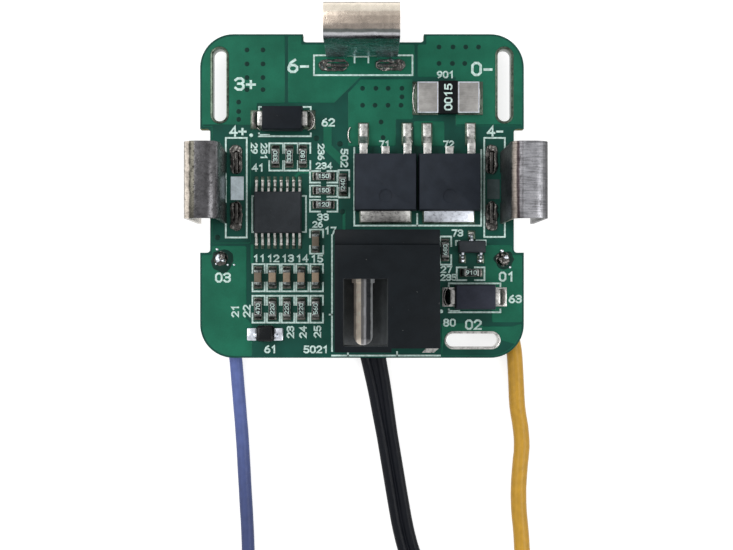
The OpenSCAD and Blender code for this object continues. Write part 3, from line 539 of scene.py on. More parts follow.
FINISHES = {
    "mask_on_copper": (solder_mask, "mask_pour"),
    "mask_in_shade": (solder_mask, "mask_deep"),
    "mask_on_laminate": (masked_laminate,),
    "print_ink": (printed_ink,),
    "shunt_metal": (shunt_metal,),
    "plated_pin": (plated_pin,),
    "spring_bronze": (spring_bronze,),
    "floor_paper": (floor_paper,),
    # Axis and painted reflection bands, stretch of the rolling lines, flecks, wear and roughness.
    "left_sheet": (plated_sheet, "X", LEFT_REFLECTION_PAINT, (2.2, 2.4, 0.8), 0.8, 0.55, 0.22),
    "right_sheet": (plated_sheet, "X", RIGHT_REFLECTION_PAINT, (0.6, 7.5, 0.6), 0.4, 0.42, 0.34),
    "rear_sheet": (plated_sheet, "Y", REAR_REFLECTION_PAINT, (1.6, 0.7, 0.7), 0.15, 0.82, 0.22),
    # Colour, share of it in the darkest patches, and depth of the grain.
    "tinned": (tin, "tin", 0.6, 0.4),
    "dull_tin": (tin, "dull_tin", 0.25, 0.9),
    "cold_tin": (tin, "cold_tin", 0.8, 0.15),
    "end_tin": (tin, "end_tin", 0.3, 0.9),
    "olive_tin": (tin, "olive_tin", 0.5, 0.4),
    # Colour and how much flux is left on it.
    "bright_solder": (solder, "solder", 0.45),
    "dull_solder": (solder, "dull_solder", 0.9),
    # Colour, roughness, grains to a millimetre, dust and glint.
    "jack_plastic": (moulded, "jack", 0.36, 9, 0.5, 0.12),
    "jack_inside": (moulded, "jack_inside", 0.5, 9, 0.0, 0.12),
    "power_compound": (moulded, "moulding", 0.52, 14, 0.12, 0.12),
    "chip_compound": (moulded, "chip", 0.52, 14, 0.12, 0.12),
    "diode_compound": (moulded, "diode", 0.42, 12, 0.15, 0.12),
    "violet_compound": (moulded, "front_diode", 0.42, 12, 0.15, 0.12),
    "shunt_coating": (moulded, "coating", 0.4, 10, 0.1, 0.12),
    "glass_black": (moulded, "coating", 0.2, 3, 0.1, 0.22),
    "white_block": (moulded, "ink_block", 0.6, 4, 0.0, 0.12),
    "stained_block": (moulded, "stained_block", 0.5, 4, 0.0, 0.12),
    "alumina": (moulded, "alumina", 0.45, 12, 0.0, 0.12),
    "resistor_glaze": (moulded, "glaze", 0.34, 8, 0.0, 0.12),
    "dielectric": (moulded, "dielectric", 0.38, 10, 0.0, 0.12),
    "dark_dielectric": (moulded, "dark_dielectric", 0.38, 10, 0.0, 0.12),
    "bead_resin": (moulded, "resin", 0.22, 3, 0.0, 0.12),
    # Colour, roughness, coat, turn of the drawn lines, their depth, glint and painted shade far
    # from the board.
    "blue_jacket": (jacket, "blue", 0.42, 0.06, 3, 0.25, 0.2, 0.44),
    "yellow_jacket": (jacket, "yellow", 0.36, 0.1, 0, 0.25, 0.25, 0.96),
    "black_jacket": (jacket, "black", 0.3, 0.05, -9.8, 1.0, 0.1, 0.8),
}


def finish_of(name):
    """The material of that name, made the first time it is asked for."""
    title = "finish_" + name
    material = bpy.data.materials.get(title)
    if material is None:
        material = bpy.data.materials.new(title)
        material.use_nodes = True
        maker, *details = FINISHES[name]
        maker(Finish(material.node_tree), *details)
    return material


# Pieces


def new_piece(name, bm, finishes, replaces=(), sharp=32):
    """Turns a mesh in millimetres into a piece that rides on the board.

    Its edges stay crisp where they turn by more than sharp degrees.
    """
    bm.transform(TO_FRAME)
    mesh = bpy.data.meshes.new(name)
    bm.to_mesh(mesh)
    bm.free()
    for finish in finishes:
        mesh.materials.append(finish_of(finish))
    mesh.polygons.foreach_set("use_smooth", [True] * len(mesh.polygons))
    mesh.set_sharp_from_angle(angle=math.radians(sharp))
    piece = bpy.data.objects.new(name, mesh)
    bpy.context.scene.collection.objects.link(piece)
    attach(piece, BODY)
    if replaces:
        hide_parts(*replaces)
    return piece


def dress(node, finish):
    """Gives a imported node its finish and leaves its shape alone."""
    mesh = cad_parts[node].data
    mesh.materials.clear()
    mesh.materials.append(finish_of(finish))


def node_box(node):
    """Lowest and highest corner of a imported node, in mm about the board's centre."""
    low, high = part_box(node)
    return FROM_FRAME @ low, FROM_FRAME @ high


def node_mesh(node):
    """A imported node's form in millimetres, with its flat faces made whole again."""
    bm = bmesh.new()
    bm.from_mesh(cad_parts[node].data)
    bm.transform(FROM_FRAME)
    bmesh.ops.remove_doubles(bm, verts=bm.verts, dist=1e-4)
    bmesh.ops.dissolve_limit(
        bm, angle_limit=math.radians(0.8), verts=bm.verts, edges=bm.edges
    )
    for face in bm.faces:
        face.material_index = 0
    return bm


def round_edges(bm, width, steps=2, corner=35):
    """Rounds every edge where two faces meet at more than that angle."""
    edges = [
        e for e in bm.edges
        if len(e.link_faces) == 2 and e.calc_face_angle() > math.radians(corner)
    ]
    bmesh.ops.bevel(
        bm, geom=edges, offset=width, segments=steps, profile=0.5, affect="EDGES",
        clamp_overlap=True,
    )


def soften(name, node, finish, width, steps=2, second=None, where=None):
    """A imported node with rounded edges; a second finish goes on the faces where says."""
    bm = node_mesh(node)
    round_edges(bm, width / MM, steps)
    if second:
        for face in bm.faces:
            face.material_index = int(where(face.calc_center_median()))
    return new_piece(name, bm, (finish, second) if second else (finish,), (node,))


def remeshed(node, voxel):
    """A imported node's form in even small faces, with its edges relaxed."""
    bm = node_mesh(node)
    bmesh.ops.triangulate(bm, faces=bm.faces)
    raw = bpy.data.meshes.new(node + "_raw")
    bm.to_mesh(raw)
    bm.free()
    holder = bpy.data.objects.new(node + "_raw", raw)
    bpy.context.scene.collection.objects.link(holder)
    remesh = holder.modifiers.new("Remesh", "REMESH")
    remesh.mode = "VOXEL"
    remesh.voxel_size = voxel
    relax = holder.modifiers.new("Relax", "SMOOTH")
    relax.factor = 0.5
    relax.iterations = 6
    shown = holder.evaluated_get(bpy.context.evaluated_depsgraph_get())
    made = bmesh.new()
    made.from_mesh(bpy.data.meshes.new_from_object(shown))
    bpy.data.objects.remove(holder)
    return made


def flowed(name, node, finish, voxel, wander, seed):
    """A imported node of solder, remeshed and given the lumps of a hand soldered joint."""
    made = remeshed(node, voxel)
    low, high = node_box(node)
    made.normal_update()
    away = Vector((seed * 3.7, seed * 1.3, 0))
    shifts = [
        v.normal * (wander * (noise.noise(v.co * 1.9 + away) - 0.35)) for v in made.verts
    ]
    for vertex, shift in zip(made.verts, shifts):
        spot = vertex.co + shift
        vertex.co = [min(max(c, a), b) for c, a, b in zip(spot, low, high)]
    return new_piece(name, made, (finish,), (node,), sharp=60)


def add_block(bm, low, high, edge, index=0, steps=2):
    """A block between two corners, with rounded edges."""
    made = bmesh.ops.create_cube(bm, size=1)["verts"]
    middle = (Vector(low) + Vector(high)) / 2
    size = Vector(high) - Vector(low)
    for vertex in made:
        vertex.co = Vector([m + c * s for m, c, s in zip(middle, vertex.co, size)])
    edges = list({e for v in made for e in v.link_edges})
    faces = list({f for v in made for f in v.link_faces})
    for face in faces:
        face.material_index = index
    if edge:
        bmesh.ops.bevel(
            bm, geom=edges, offset=edge, segments=steps, profile=0.5, affect="EDGES",
            clamp_overlap=True, material=index,
        )


def add_skin(bm, rings, index=0, loop=False):
    """Faces between rings of points: capped at both ends, or run round as a loop."""
    rows = [[bm.verts.new(p) for p in ring] for ring in rings]
    count = len(rows[0])
    faces = []
    for lower, upper in zip(rows, rows[1:] + rows[:1] if loop else rows[1:]):
        for i in range(count):
            j = (i + 1) % count
            faces.append(bm.faces.new((lower[i], lower[j], upper[j], upper[i])))
    if not loop:
        faces.append(bm.faces.new(list(reversed(rows[0]))))
        faces.append(bm.faces.new(rows[-1]))
    for face in faces:
        face.material_index = index


def add_mound(bm, at, rx, ry, height, z, wobble, seed, index=0, around=20, up=6):
    """A dome of solder on a flat face, a little out of round."""
    rings = []
    for i in range(up):
        angle = math.pi / 2 * i / up
        ring = []
        for j in range(around):
            turn = 2 * math.pi * j / around
            bulge = 1 + wobble * noise.noise(
                (math.cos(turn) * 1.5 + seed, math.sin(turn) * 1.5, angle + seed)
            )
            ring.append((
                at[0] + rx * math.cos(turn) * math.cos(angle) * bulge,
                at[1] + ry * math.sin(turn) * math.cos(angle) * bulge,
                z + height * math.sin(angle),
            ))
        rings.append(ring)
    add_skin(bm, rings, index)


def add_toe(bm, at, way, width, reach, rise, z, index=0, across=6, along=5):
    """A hollow fillet of solder: high against a part's end, thin at the pad's edge."""
    way = Vector(way).normalized()
    side = Vector((-way.y, way.x))
    rings = []
    for i in range(across + 1):
        u = 2 * i / across - 1
        round_off = 1 - 0.3 * u ** 4
        top = []
        for k in range(along + 1):
            t = k / along
            spread = width / 2 * u * (1 + 0.12 * t)
            spot = Vector(at) + way * (reach * t * round_off) + side * spread
            top.append((spot.x, spot.y, z + rise * (1 - t) ** 2 * round_off + 0.012))
        first = Vector(at) + side * (width / 2 * u)
        last = Vector(at) + way * (reach * round_off) + side * (width / 2 * u * 1.12)
        rings.append(top + [(last.x, last.y, z - 0.004), (first.x, first.y, z - 0.004)])
    add_skin(bm, rings, index)


def offset_loop(loop, by):
    """A closed outline moved to its right, which is outward if it runs counterclockwise."""
    grown = []
    count = len(loop)
    for i in range(count):
        before, here, after = (Vector(loop[k % count]) for k in (i - 1, i, i + 1))
        a = (here - before).normalized()
        b = (after - here).normalized()
        normal = Vector((a.y + b.y, -a.x - b.x)).normalized()
        lean = max(0.35, normal.dot(Vector((a.y, -a.x))))
        grown.append(tuple(here + normal * (by / lean)))
    return grown


def rounded_loop(corners, steps=7):
    """A counterclockwise outline from corners (x, y) or (x, y, radius)."""
    loop = []
    count = len(corners)
    for i in range(count):
        here = Vector(corners[i][:2])
        radius = corners[i][2] if len(corners[i]) > 2 else 0.15
        before = (Vector(corners[i - 1][:2]) - here).normalized()
        after = (Vector(corners[(i + 1) % count][:2]) - here).normalized()
        half = before.angle(after) / 2
        run = radius / math.tan(half)
        start, end = here + before * run, here + after * run
        middle = here + (before + after).normalized() * (radius / math.sin(half))
        a0 = math.atan2(start.y - middle.y, start.x - middle.x)
        a1 = math.atan2(end.y - middle.y, end.x - middle.x)
        sweep = (a1 - a0 + math.pi) % (2 * math.pi) - math.pi
        for k in range(steps + 1):
            a = a0 + sweep * k / steps
            loop.append((middle.x + radius * math.cos(a), middle.y + radius * math.sin(a)))
    return loop


def slot_loop(x, y, width, height, steps=10):
    """A slot with round ends, clockwise, so that it is a hole in an outline."""
    radius = min(width, height) / 2
    dx, dy = width / 2 - radius, height / 2 - radius
    loop = []
    for sx, sy, first in ((1, 1, 0), (-1, 1, 90), (-1, -1, 180), (1, -1, 270)):
        for k in range(steps + 1):
            a = math.radians(first + 90 * k / steps)
            loop.append((x + sx * dx + radius * math.cos(a), y + sy * dy + radius * math.sin(a)))
    return list(reversed(loop))


def add_plate(bm, loops, z0, z1, slope, index=0):
    """A thin plate inside an outline and outside the holes after it, with sloped walls."""
    top_edges = []
    for loop in loops:
        foot = [bm.verts.new((x, y, z0)) for x, y in offset_loop(loop, slope)]
        head = [bm.verts.new((x, y, z1)) for x, y in loop]
        for i in range(len(loop)):
            j = (i + 1) % len(loop)
            bm.faces.new((foot[i], foot[j], head[j], head[i])).material_index = index
            top_edges.append(bm.edges.get((head[i], head[j])))
    filled = bmesh.ops.triangle_fill(
        bm, use_beauty=True, use_dissolve=False, edges=top_edges, normal=(0, 0, 1)
    )
    for item in filled["geom"]:
        if isinstance(item, bmesh.types.BMFace):
            item.material_index = index


def add_stroke(bm, points, width, z0, z1, index=0):
    """A flat line with mitred corners and square ends, or closed if it ends where it began."""
    half = width / 2
    spots = [Vector(p) for p in points]
    closed = (spots[0] - spots[-1]).length < 1e-6
    if closed:
        spots.pop()
    rings = []
    for i, here in enumerate(spots):
        first = here - spots[i - 1] if closed or i else spots[1] - here
        last = spots[(i + 1) % len(spots)] - here if closed or i < len(spots) - 1 else first
        first, last = first.normalized(), last.normalized()
        middle = (first + last).normalized()
        side = Vector((-middle.y, middle.x))
        side *= half / max(0.5, side.dot(Vector((-last.y, last.x))))
        if not closed and i == 0:
            here = here - last * half
        if not closed and i == len(spots) - 1:
            here = here + first * half
        right, left = here - side, here + side
        rings.append([(right.x, right.y, z0), (left.x, left.y, z0),
                      (left.x, left.y, z1), (right.x, right.y, z1)])
    add_skin(bm, rings, index, closed)


def box_line(x0, y0, x1, y1):
    """Corners of a box, back to the first one, for a closed stroke."""
    return [(x0, y0), (x1, y0), (x1, y1), (x0, y1), (x0, y0)]


# Lines of each character, in shares of its height.
CHARACTERS = {
    "0": (((0.18, 0), (0.42, 0), (0.6, 0.2), (0.6, 0.8), (0.42, 1), (0.18, 1), (0, 0.8),
           (0, 0.2), (0.18, 0)),),
    "1": (((0.12, 0.78), (0.36, 1), (0.36, 0)),),
    "2": (((0, 0.8), (0.18, 1), (0.42, 1), (0.6, 0.82), (0.6, 0.62), (0, 0), (0.6, 0)),),
    "3": (((0, 0.85), (0.16, 1), (0.44, 1), (0.6, 0.84), (0.6, 0.68), (0.44, 0.53),
           (0.6, 0.38), (0.6, 0.17), (0.43, 0), (0.16, 0), (0, 0.15)),
          ((0.2, 0.53), (0.44, 0.53))),
    "4": (((0.46, 0), (0.46, 1), (0, 0.3)), ((0, 0.3), (0.62, 0.3))),
    "5": (((0.56, 1), (0.06, 1), (0.03, 0.56), (0.42, 0.58), (0.6, 0.42), (0.6, 0.17),
           (0.42, 0), (0.16, 0), (0, 0.14)),),
    "6": (((0.17, 0), (0.43, 0), (0.6, 0.17), (0.6, 0.4), (0.43, 0.57), (0.17, 0.57),
           (0, 0.4), (0, 0.17), (0.17, 0)), ((0.01, 0.38), (0.12, 0.74), (0.44, 1))),
    "7": (((0, 1), (0.6, 1), (0.24, 0)),),
    "8": (((0.17, 0), (0.43, 0), (0.6, 0.16), (0.6, 0.38), (0.43, 0.54), (0.17, 0.54),
           (0, 0.38), (0, 0.16), (0.17, 0)),
          ((0.17, 0.54), (0.43, 0.54), (0.56, 0.68), (0.56, 0.87), (0.43, 1), (0.17, 1),
           (0.04, 0.87), (0.04, 0.68), (0.17, 0.54))),
    "9": (((0.43, 1), (0.17, 1), (0, 0.83), (0, 0.6), (0.17, 0.43), (0.43, 0.43),
           (0.6, 0.6), (0.6, 0.83), (0.43, 1)), ((0.59, 0.62), (0.48, 0.26), (0.16, 0))),
    "+": (((0, 0.45), (0.6, 0.45)), ((0.3, 0.15), (0.3, 0.75))),
    "-": (((0.02, 0.45), (0.5, 0.45)),),
}


# Shares of the height: a character's own width, how far it is widened, and from one to the next.
LETTER_WIDTH = 0.6
LETTER_BROAD = 1.16
LETTER_STEP = 1.02


def add_letters(bm, text, at, height, turn, z, thick, line, index=0):
    """Characters in lines of one width, centred on a place and turned by degrees."""
    tall = height - line
    across = LETTER_STEP * (len(text) - 1) + LETTER_WIDTH * LETTER_BROAD
    spin = Matrix.Rotation(math.radians(turn), 2)
    for k, character in enumerate(text):
        for n, points in enumerate(CHARACTERS[character]):
            spots = [
                Vector(at) + spin @ Vector((
                    (x * LETTER_BROAD + k * LETTER_STEP - across / 2) * tall,
                    (y - 0.5) * tall,
                ))
                for x, y in points
            ]
            add_stroke(bm, spots, line, z, z + thick + n * 0.003, index)


def circle(radius, count):
    """Points round a circle, from its right."""
    turns = [2 * math.pi * k / count for k in range(count)]
    return [(radius * math.cos(a), radius * math.sin(a)) for a in turns]


def round_section(radius, count=24):
    """The same round section all along a tube."""
    ring = circle(radius, count)
    return lambda i: ring


def add_rim(bm, at, side, reach, width, radius, z):
    """A bright curved edge of solder that bows outward from a part's end."""
    line = []
    for k in range(13):
        a = math.radians(-84 + 14 * k)
        line.append(Vector((
            at[0] + side * reach * math.cos(a), at[1] + width / 2 * math.sin(a), z
        )))
    add_path_tube(bm, line, round_section(radius, 8))


def add_path_tube(bm, path, section):
    """A tube along a path; section(i) gives points (side, up) round its place i."""
    rings = []
    count = len(path)
    for i, here in enumerate(path):
        ahead = Vector(path[min(i + 1, count - 1)]) - Vector(path[max(i - 1, 0)])
        side = ahead.cross(Vector((0, 0, 1))).normalized()
        up = side.cross(ahead).normalized()
        rings.append([Vector(here) + side * s + up * u for s, u in section(i)])
    add_skin(bm, rings)


def smooth_route(points, steps=3):
    """A curve through points, with that many steps between each two."""
    made = []
    held = [Vector(p) for p in points]
    held = [2 * held[0] - held[1]] + held + [2 * held[-1] - held[-2]]
    for a, b, c, d in zip(held, held[1:], held[2:], held[3:]):
        for k in range(steps):
            t = k / steps
            made.append(0.5 * (
                2 * b + (c - a) * t + (2 * a - 5 * b + 4 * c - d) * t * t
                + (3 * b - a - 3 * c + d) * t ** 3
            ))
    made.append(held[-2])
    return made


def spiral(middle, radius, pitch, turns, first, way, z, steps=28):
    """Turns that draw inwards round a middle; way is -1 for clockwise."""
    count = round(turns * steps)
    made = []
    for i in range(count + 1):
        t = turns * i / count
        angle = math.radians(first) + way * 2 * math.pi * t
        r = radius - pitch * t
        made.append(Vector((
            middle[0] + r * math.cos(angle), middle[1] + r * math.sin(angle), z
        )))
    return made


# Operators


# Copper stays this far inside the board's edge. EDGE is its outer line, with rounded corners,
# and it steps in to the other two lines at the notches of the sides and the rear.
COPPER_MARGIN = 0.25
EDGE = (BOARD_HIGH.x - BOARD_LOW.x) / 2 / MM - COPPER_MARGIN
CORNER = 3.5 - COPPER_MARGIN
SIDE_NOTCH, REAR_NOTCH = 15.7, 15.85
# Slots cut from the copper round the strap slots: place and size.
LEFT_SLOT = (-14.95, 11.65, 2.04, 8.24)
RIGHT_SLOT = (14.95, 11.65, 2.04, 8.24)
FRONT_SLOT = (11.6, -15.15, 6.04, 2.04)
# Copper areas under the mask: outline, slots cut from it, and whether the underside has it too.
POURS = (
    ([(-8.15, EDGE), (-EDGE, EDGE, CORNER), (-EDGE, 7.35), (-SIDE_NOTCH, 7.35),
      (-SIDE_NOTCH, -4.9), (-11.75, -4.9), (-11.75, 6.6), (-11.1, 7.4), (-11.1, 9.8),
      (-8.15, 9.8)], [LEFT_SLOT], True),
    ([(-12.2, -5.3), (-SIDE_NOTCH, -5.3), (-SIDE_NOTCH, -6.25), (-EDGE, -6.25),
      (-EDGE, -EDGE, CORNER), (-11.6, -EDGE), (-11.6, -13.5), (-12.2, -12.9)], [], True),
    ([(5.45, REAR_NOTCH), (-6.4, REAR_NOTCH), (-6.4, EDGE), (-7.7, EDGE), (-7.7, 9.85),
      (-2.95, 9.85), (-0.15, 12.6), (5.45, 12.6)], [], True),
    ([(5.3, 12.2), (-0.1, 12.2), (-1.4, 10.8), (-1.4, 5.3), (3.5, 5.3), (3.5, 8.1), (5.3, 8.1)],
     [], False),
    ([(8.6, 7.8), (5.5, 7.8), (5.5, 5.3), (8.6, 5.3)], [], False),
    ([(EDGE, EDGE, CORNER), (6.8, EDGE), (6.8, REAR_NOTCH), (5.9, REAR_NOTCH), (5.9, 12.55),
      (9.9, 12.55), (9.9, 7.4), (EDGE, 7.4)], [RIGHT_SLOT], True),
    ([(SIDE_NOTCH, -5.2), (12.9, -5.2), (12.9, -9.0), (13.7, -9.8), (13.7, -13.2), (EDGE, -13.2),
      (EDGE, -6.25), (SIDE_NOTCH, -6.25)], [], False),
    ([(EDGE, -13.45), (15.8, -13.75), (12.7, -13.75), (12.2, -13.4), (8.4, -13.4), (8.4, -EDGE),
      (EDGE, -EDGE, CORNER)], [FRONT_SLOT], True),
)
# Broader and narrow traces: width and points.
TRACES = (
    (0.85, [(-3.62, 7.35), (-3.62, 5.15), (-2.21, 3.78)]),
    (0.3, [(-4.62, 2.52), (-6.51, 2.52), (-6.93, 2.10)]),
    (0.3, [(-11.55, -5.25), (-11.55, -6.93)]),
    (0.3, [(-1.89, -1.68), (-1.89, -3.78)]),
    (0.3, [(7.14, -7.56), (7.14, -10.92)]),
)
# Covered vias in rows: the row's y, then the x of each.
VIA_ROWS = (
    (15.34, (-12.08, -10.4)), (13.87, (-12.08, -10.4)), (12.44, (-12.08, -10.4)),
    (11.17, (-12.08, -10.4)), (9.87, (-12.95,)), (8.88, (-12.95,)), (8.05, (-12.95,)),
    (15.65, (8.09, 9.56, 10.9, 12.24)), (13.92, (8.09, 9.5, 10.79)),
    (11.31, (0.06, 1.46, 2.75, 4.2)), (10.41, (4.2,)), (9.53, (0.06, 1.37, 2.73, 4.1)),
    (7.77, (2.0,)), (6.14, (2.21,)), (6.07, (-4.8,)), (5.48, (-2.31,)), (0.42, (12.5,)),
    (-1.66, (-2.05,)), (-4.36, (-15.18,)),
)
# Darker rings of mask round the two leads' joints: place and half widths.
DARK_JOINT_RINGS = ((-14.75, -6.75, 1.35, 1.2), (14.95, -6.7, 1.05, 1.0))
# How far printed and masked layers reach into the board, so that no gap shows.
SINK = 0.005


class BOARD_OT_mask(Operator):
    """The board's solder mask, raised where copper lies under it, and its covered vias"""

    bl_idname = "board.mask"
    bl_label = "Mask and copper relief"

    def execute(self, context):
        sizes = context.scene.board_print
        step = sizes.relief / MM
        dress("circuit_board", "mask_on_laminate")
        self.raise_pours(step, sizes.slope / MM)
        self.cover_vias(step, sizes.via / MM)
        # The front slot and the front diode's pads are bright; the rest is painted darker, for
        # shade.
        soften("slot_rims", "strap_slot_plating", "olive_tin", 0.025 * MM, 2,
               "tinned", lambda spot: spot.y < 0)
        soften("soldered_pads", "board_solder", "olive_tin", 0.035 * MM, 2,
               "tinned", lambda spot: spot.x > 8 and spot.y < -9)
        return {"FINISHED"}

    def raise_pours(self, step, slope):
        bm = bmesh.new()
        for corners, holes, both in POURS:
            loops = [rounded_loop(corners)] + [slot_loop(*hole) for hole in holes]
            add_plate(bm, loops, TOP_Z - SINK, TOP_Z + step, slope)
            if both:
                made = set(bm.faces)
                add_plate(bm, loops, UNDER_Z - SINK, UNDER_Z + step, slope)
                fresh = [f for f in bm.faces if f not in made]
                for vertex in {v for f in fresh for v in f.verts}:
                    vertex.co.z = 2 * UNDER_Z - vertex.co.z
                bmesh.ops.reverse_faces(bm, faces=fresh)
        for width, points in TRACES:
            add_stroke(bm, points, width, TOP_Z - SINK, TOP_Z + step * 0.8)
        new_piece("mask_relief", bm, ["mask_on_copper"], sharp=25)

    def cover_vias(self, step, via):
        # Share of the radius and height of each ring, from the foot to the dished middle.
        rings = ((1, 0), (0.85, step + 0.004), (0.62, step + 0.01), (0.35, step + 0.008),
                 (0.1, step + 0.006))
        bm = bmesh.new()
        for y, row in VIA_ROWS:
            for x in row:
                add_skin(bm, [
                    [(x + u, y + v, TOP_Z + z) for u, v in circle(via * share_out, 16)]
                    for share_out, z in rings
                ])
        for x, y, rx, ry in DARK_JOINT_RINGS:
            add_mound(bm, (x, y), rx, ry, 0.05, TOP_Z + step - 0.01, 0.35, x, around=28, up=4)
        new_piece("covered_vias", bm, ["mask_in_shade"], sharp=60)


# Left and right edges of the outlines round the five columns of chip parts at the front left.
COLUMNS = ((-11.5, -10.21), (-9.98, -8.63), (-8.43, -7.12), (-6.91, -5.63), (-5.42, -4.1))
# Printed outlines: closed boxes, then pairs of brackets (box, arm length, stood upright).
BOXES = (
    ((-5.04, 12.69), (5.3, 14.77)),
    ((-14.3, -4.36), (-12.1, 6.1)),
    ((12.84, -4.3), (15.0, 6.1)),
)
BRACKETS = (
    ((-9.74, 2.67), (-8.28, 5.53), 1.0, True),
    ((-8.17, 2.67), (-6.74, 5.53), 1.0, True),
    ((-6.64, 2.67), (-5.43, 5.53), 1.0, True),
    ((-5.46, 1.41), (-2.58, 2.61), 1.05, False),
    ((-5.46, -0.08), (-2.58, 1.08), 1.05, False),
    ((-5.46, -1.64), (-2.58, -0.42), 1.05, False),
    ((-2.46, -0.15), (-1.34, 2.71), 1.0, True),
    ((-5.46, -6.05), (-4.08, -3.53), 0.8, True),
    *(((x0, -10.01), (x1, -7.16), 0.9, True) for x0, x1 in COLUMNS),
    *(((x0, -13.3), (x1, -10.48), 0.95, True) for x0, x1 in COLUMNS),
    ((8.19, -7.21), (9.37, -4.26), 1.0, True),
    ((9.95, -8.84), (12.86, -7.50), 1.0, False),
    ((-10.82, 6.28), (-5.38, 9.35), 0.3, True),
    ((9.12, -12.21), (14.54, -9.18), 0.3, True),
    ((-11.53, -3.78), (-5.88, 0.00), 0.35, False),
)
# Other printed lines, among them the jack's and the power transistors' outlines.
STROKES = (
    [(-0.78, 14.02), (-0.78, 14.64), (0.67, 14.64), (0.67, 14.02)],
    [(-3.15, -4.10), (-3.15, -16.28)],
    [(-3.15, -16.76), (8.19, -16.76)],
    [(-1.47, -16.76), (-1.47, -16.39)],
    [(3.68, -16.76), (3.68, -16.39)],
    [(-3.40, -12.45), (-3.15, -12.45)],
    [(-0.81, 5.04), (-0.81, -3.11), (12.52, -3.11), (12.52, 4.83)],
    [(5.80, -1.89), (5.80, -3.11)],
    [(12.02, -4.68), (12.98, -4.68), (12.98, -5.15)],
    [(9.87, -5.15), (9.87, -4.72), (10.24, -4.72)],
    [(-10.82, 6.41), (-9.77, 6.41)],
    [(9.12, -12.08), (10.19, -12.08)],
)
DOTS = ((-11.64, 6.39), (8.32, -12.11))
# Bare printed blocks: one clear of the left contact, one half under the right one and painted
# darker for the contact's shade.
WHITE_BLOCK = ((-13.78, -0.42), (-12.42, 2.04))
SHADED_BLOCK_PAINT = ((13.15, -0.3), (14.45, 1.75))
# Printed numbers: characters, place, height in millimetres, turn in degrees.
NUMBERS = (
    ("3+", (-12.27, 11.76), 1.42, 0), ("6-", (-6.62, 13.66), 1.5, 0),
    ("0-", (12.66, 13.34), 1.5, 0), ("4+", (-13.03, 6.81), 1.15, 0),
    ("4-", (14.02, 6.81), 1.15, 0), ("901", (8.78, 12.75), 0.77, 0),
    ("62", (-3.55, 7.73), 0.89, 0), ("41", (-10.92, 2.98), 0.84, 0),
    ("29", (-11.32, 5.00), 0.73, -90), ("231", (-10.29, 4.68), 0.73, -90),
    ("236", (-4.29, 4.62), 0.73, -90), ("234", (-3.99, 3.17), 0.73, 0),
    ("502", (-1.85, 3.99), 0.82, -90), ("33", (-4.10, -2.21), 0.77, 0),
    ("26", (-4.66, -2.98), 0.7, 0), ("17", (-3.32, -3.63), 0.8, 0),
    ("11", (-10.79, -6.55), 0.82, 0), ("12", (-9.32, -6.55), 0.82, 0),
    ("13", (-7.79, -6.55), 0.82, 0), ("14", (-6.28, -6.55), 0.82, 0),
    ("15", (-4.73, -6.58), 0.82, 0), ("21", (-13.32, -12.08), 0.82, 90),
    ("22", (-12.10, -12.08), 0.82, 90), ("23", (-7.52, -14.29), 0.8, 90),
    ("24", (-6.20, -14.29), 0.8, 90), ("25", (-4.68, -14.24), 0.8, 90),
    ("61", (-9.60, -16.09), 0.84, 0), ("5021", (-4.83, -16.11), 0.82, 0),
    ("03", (-14.60, -8.57), 1.05, 0), ("01", (15.2, -8.47), 1.05, 0),
    ("02", (11.7, -13.51), 1.1, 0), ("63", (16.09, -10.82), 0.87, 0),
    ("80", (9.19, -13.30), 0.84, 0), ("73", (10.02, -3.89), 0.77, 0),
    ("27", (8.87, -7.71), 0.77, 0), ("235", (9.09, -8.55), 0.73, 0),
    ("71", (2.37, 5.46), 0.73, 0), ("72", (9.10, 5.46), 0.73, 0),
)


class BOARD_OT_print(Operator):
    """Printed outlines, numbers and polarity marks on the mask"""

    bl_idname = "board.print"
    bl_label = "Print"

    def execute(self, context):
        sizes = context.scene.board_print
        line = sizes.line / MM
        low = TOP_Z - SINK
        high = TOP_Z + (sizes.relief + sizes.ink) / MM
        bm = bmesh.new()
        for (x0, y0), (x1, y1) in BOXES:
            add_stroke(bm, box_line(x0, y0, x1, y1), line, low, high)
        for (x0, y0), (x1, y1), arm, upright in BRACKETS:
            for way, x, y in ((arm, x0, y0), (-arm, x1, y1)):
                bracket = (
                    [(x0, y + way), (x0, y), (x1, y), (x1, y + way)] if upright
                    else [(x + way, y0), (x, y0), (x, y1), (x + way, y1)]
                )
                add_stroke(bm, bracket, line, low, high)
        for points in STROKES:
            add_stroke(bm, points, line, low, high)
        for x, y in DOTS:
            add_mound(bm, (x, y), 0.2, 0.2, high - low, low, 0.05, x)
        for index, ((x0, y0), (x1, y1)) in enumerate((WHITE_BLOCK, SHADED_BLOCK_PAINT), 1):
            add_block(bm, (x0, y0, low), (x1, y1, high), 0, index)
        for text, at, height, turn in NUMBERS:
            add_letters(bm, text, at, height, turn, low, high - low, 0.055 + 0.135 * height)
        new_piece("board_print", bm, ["print_ink", "white_block", "stained_block"],
                  sharp=40)
        return {"FINISHED"}


# Each contact: axis, way out, how far the foot, the top and the outer leg go out, and its slot.
CONTACTS = {
    "left": (0, -1, 0.5, -0.05, 0, "contact_metal_dark"),
    "right": (0, 1, 0.4, -0.2, 0, "contact_metal_bright"),
    "rear": (1, 1, 0.28, -0.47, -0.26, "contact_metal_warm"),
}
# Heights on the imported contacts: just over the tabs' ends, their shoulders, the leg's lower end,
# the top of the notch between the tabs, and the springing of the arch. The outer leg lies
# beyond OUTER_LEG, and NEAR is the play that the heights are looked up with.
TAB_END = 1
TAB_TOP = 3.9
LEG_LOW = 4.8
NOTCH_TOP = 5.99
ARCH_LOW = 14.3
OUTER_LEG = 16
NEAR = 0.05


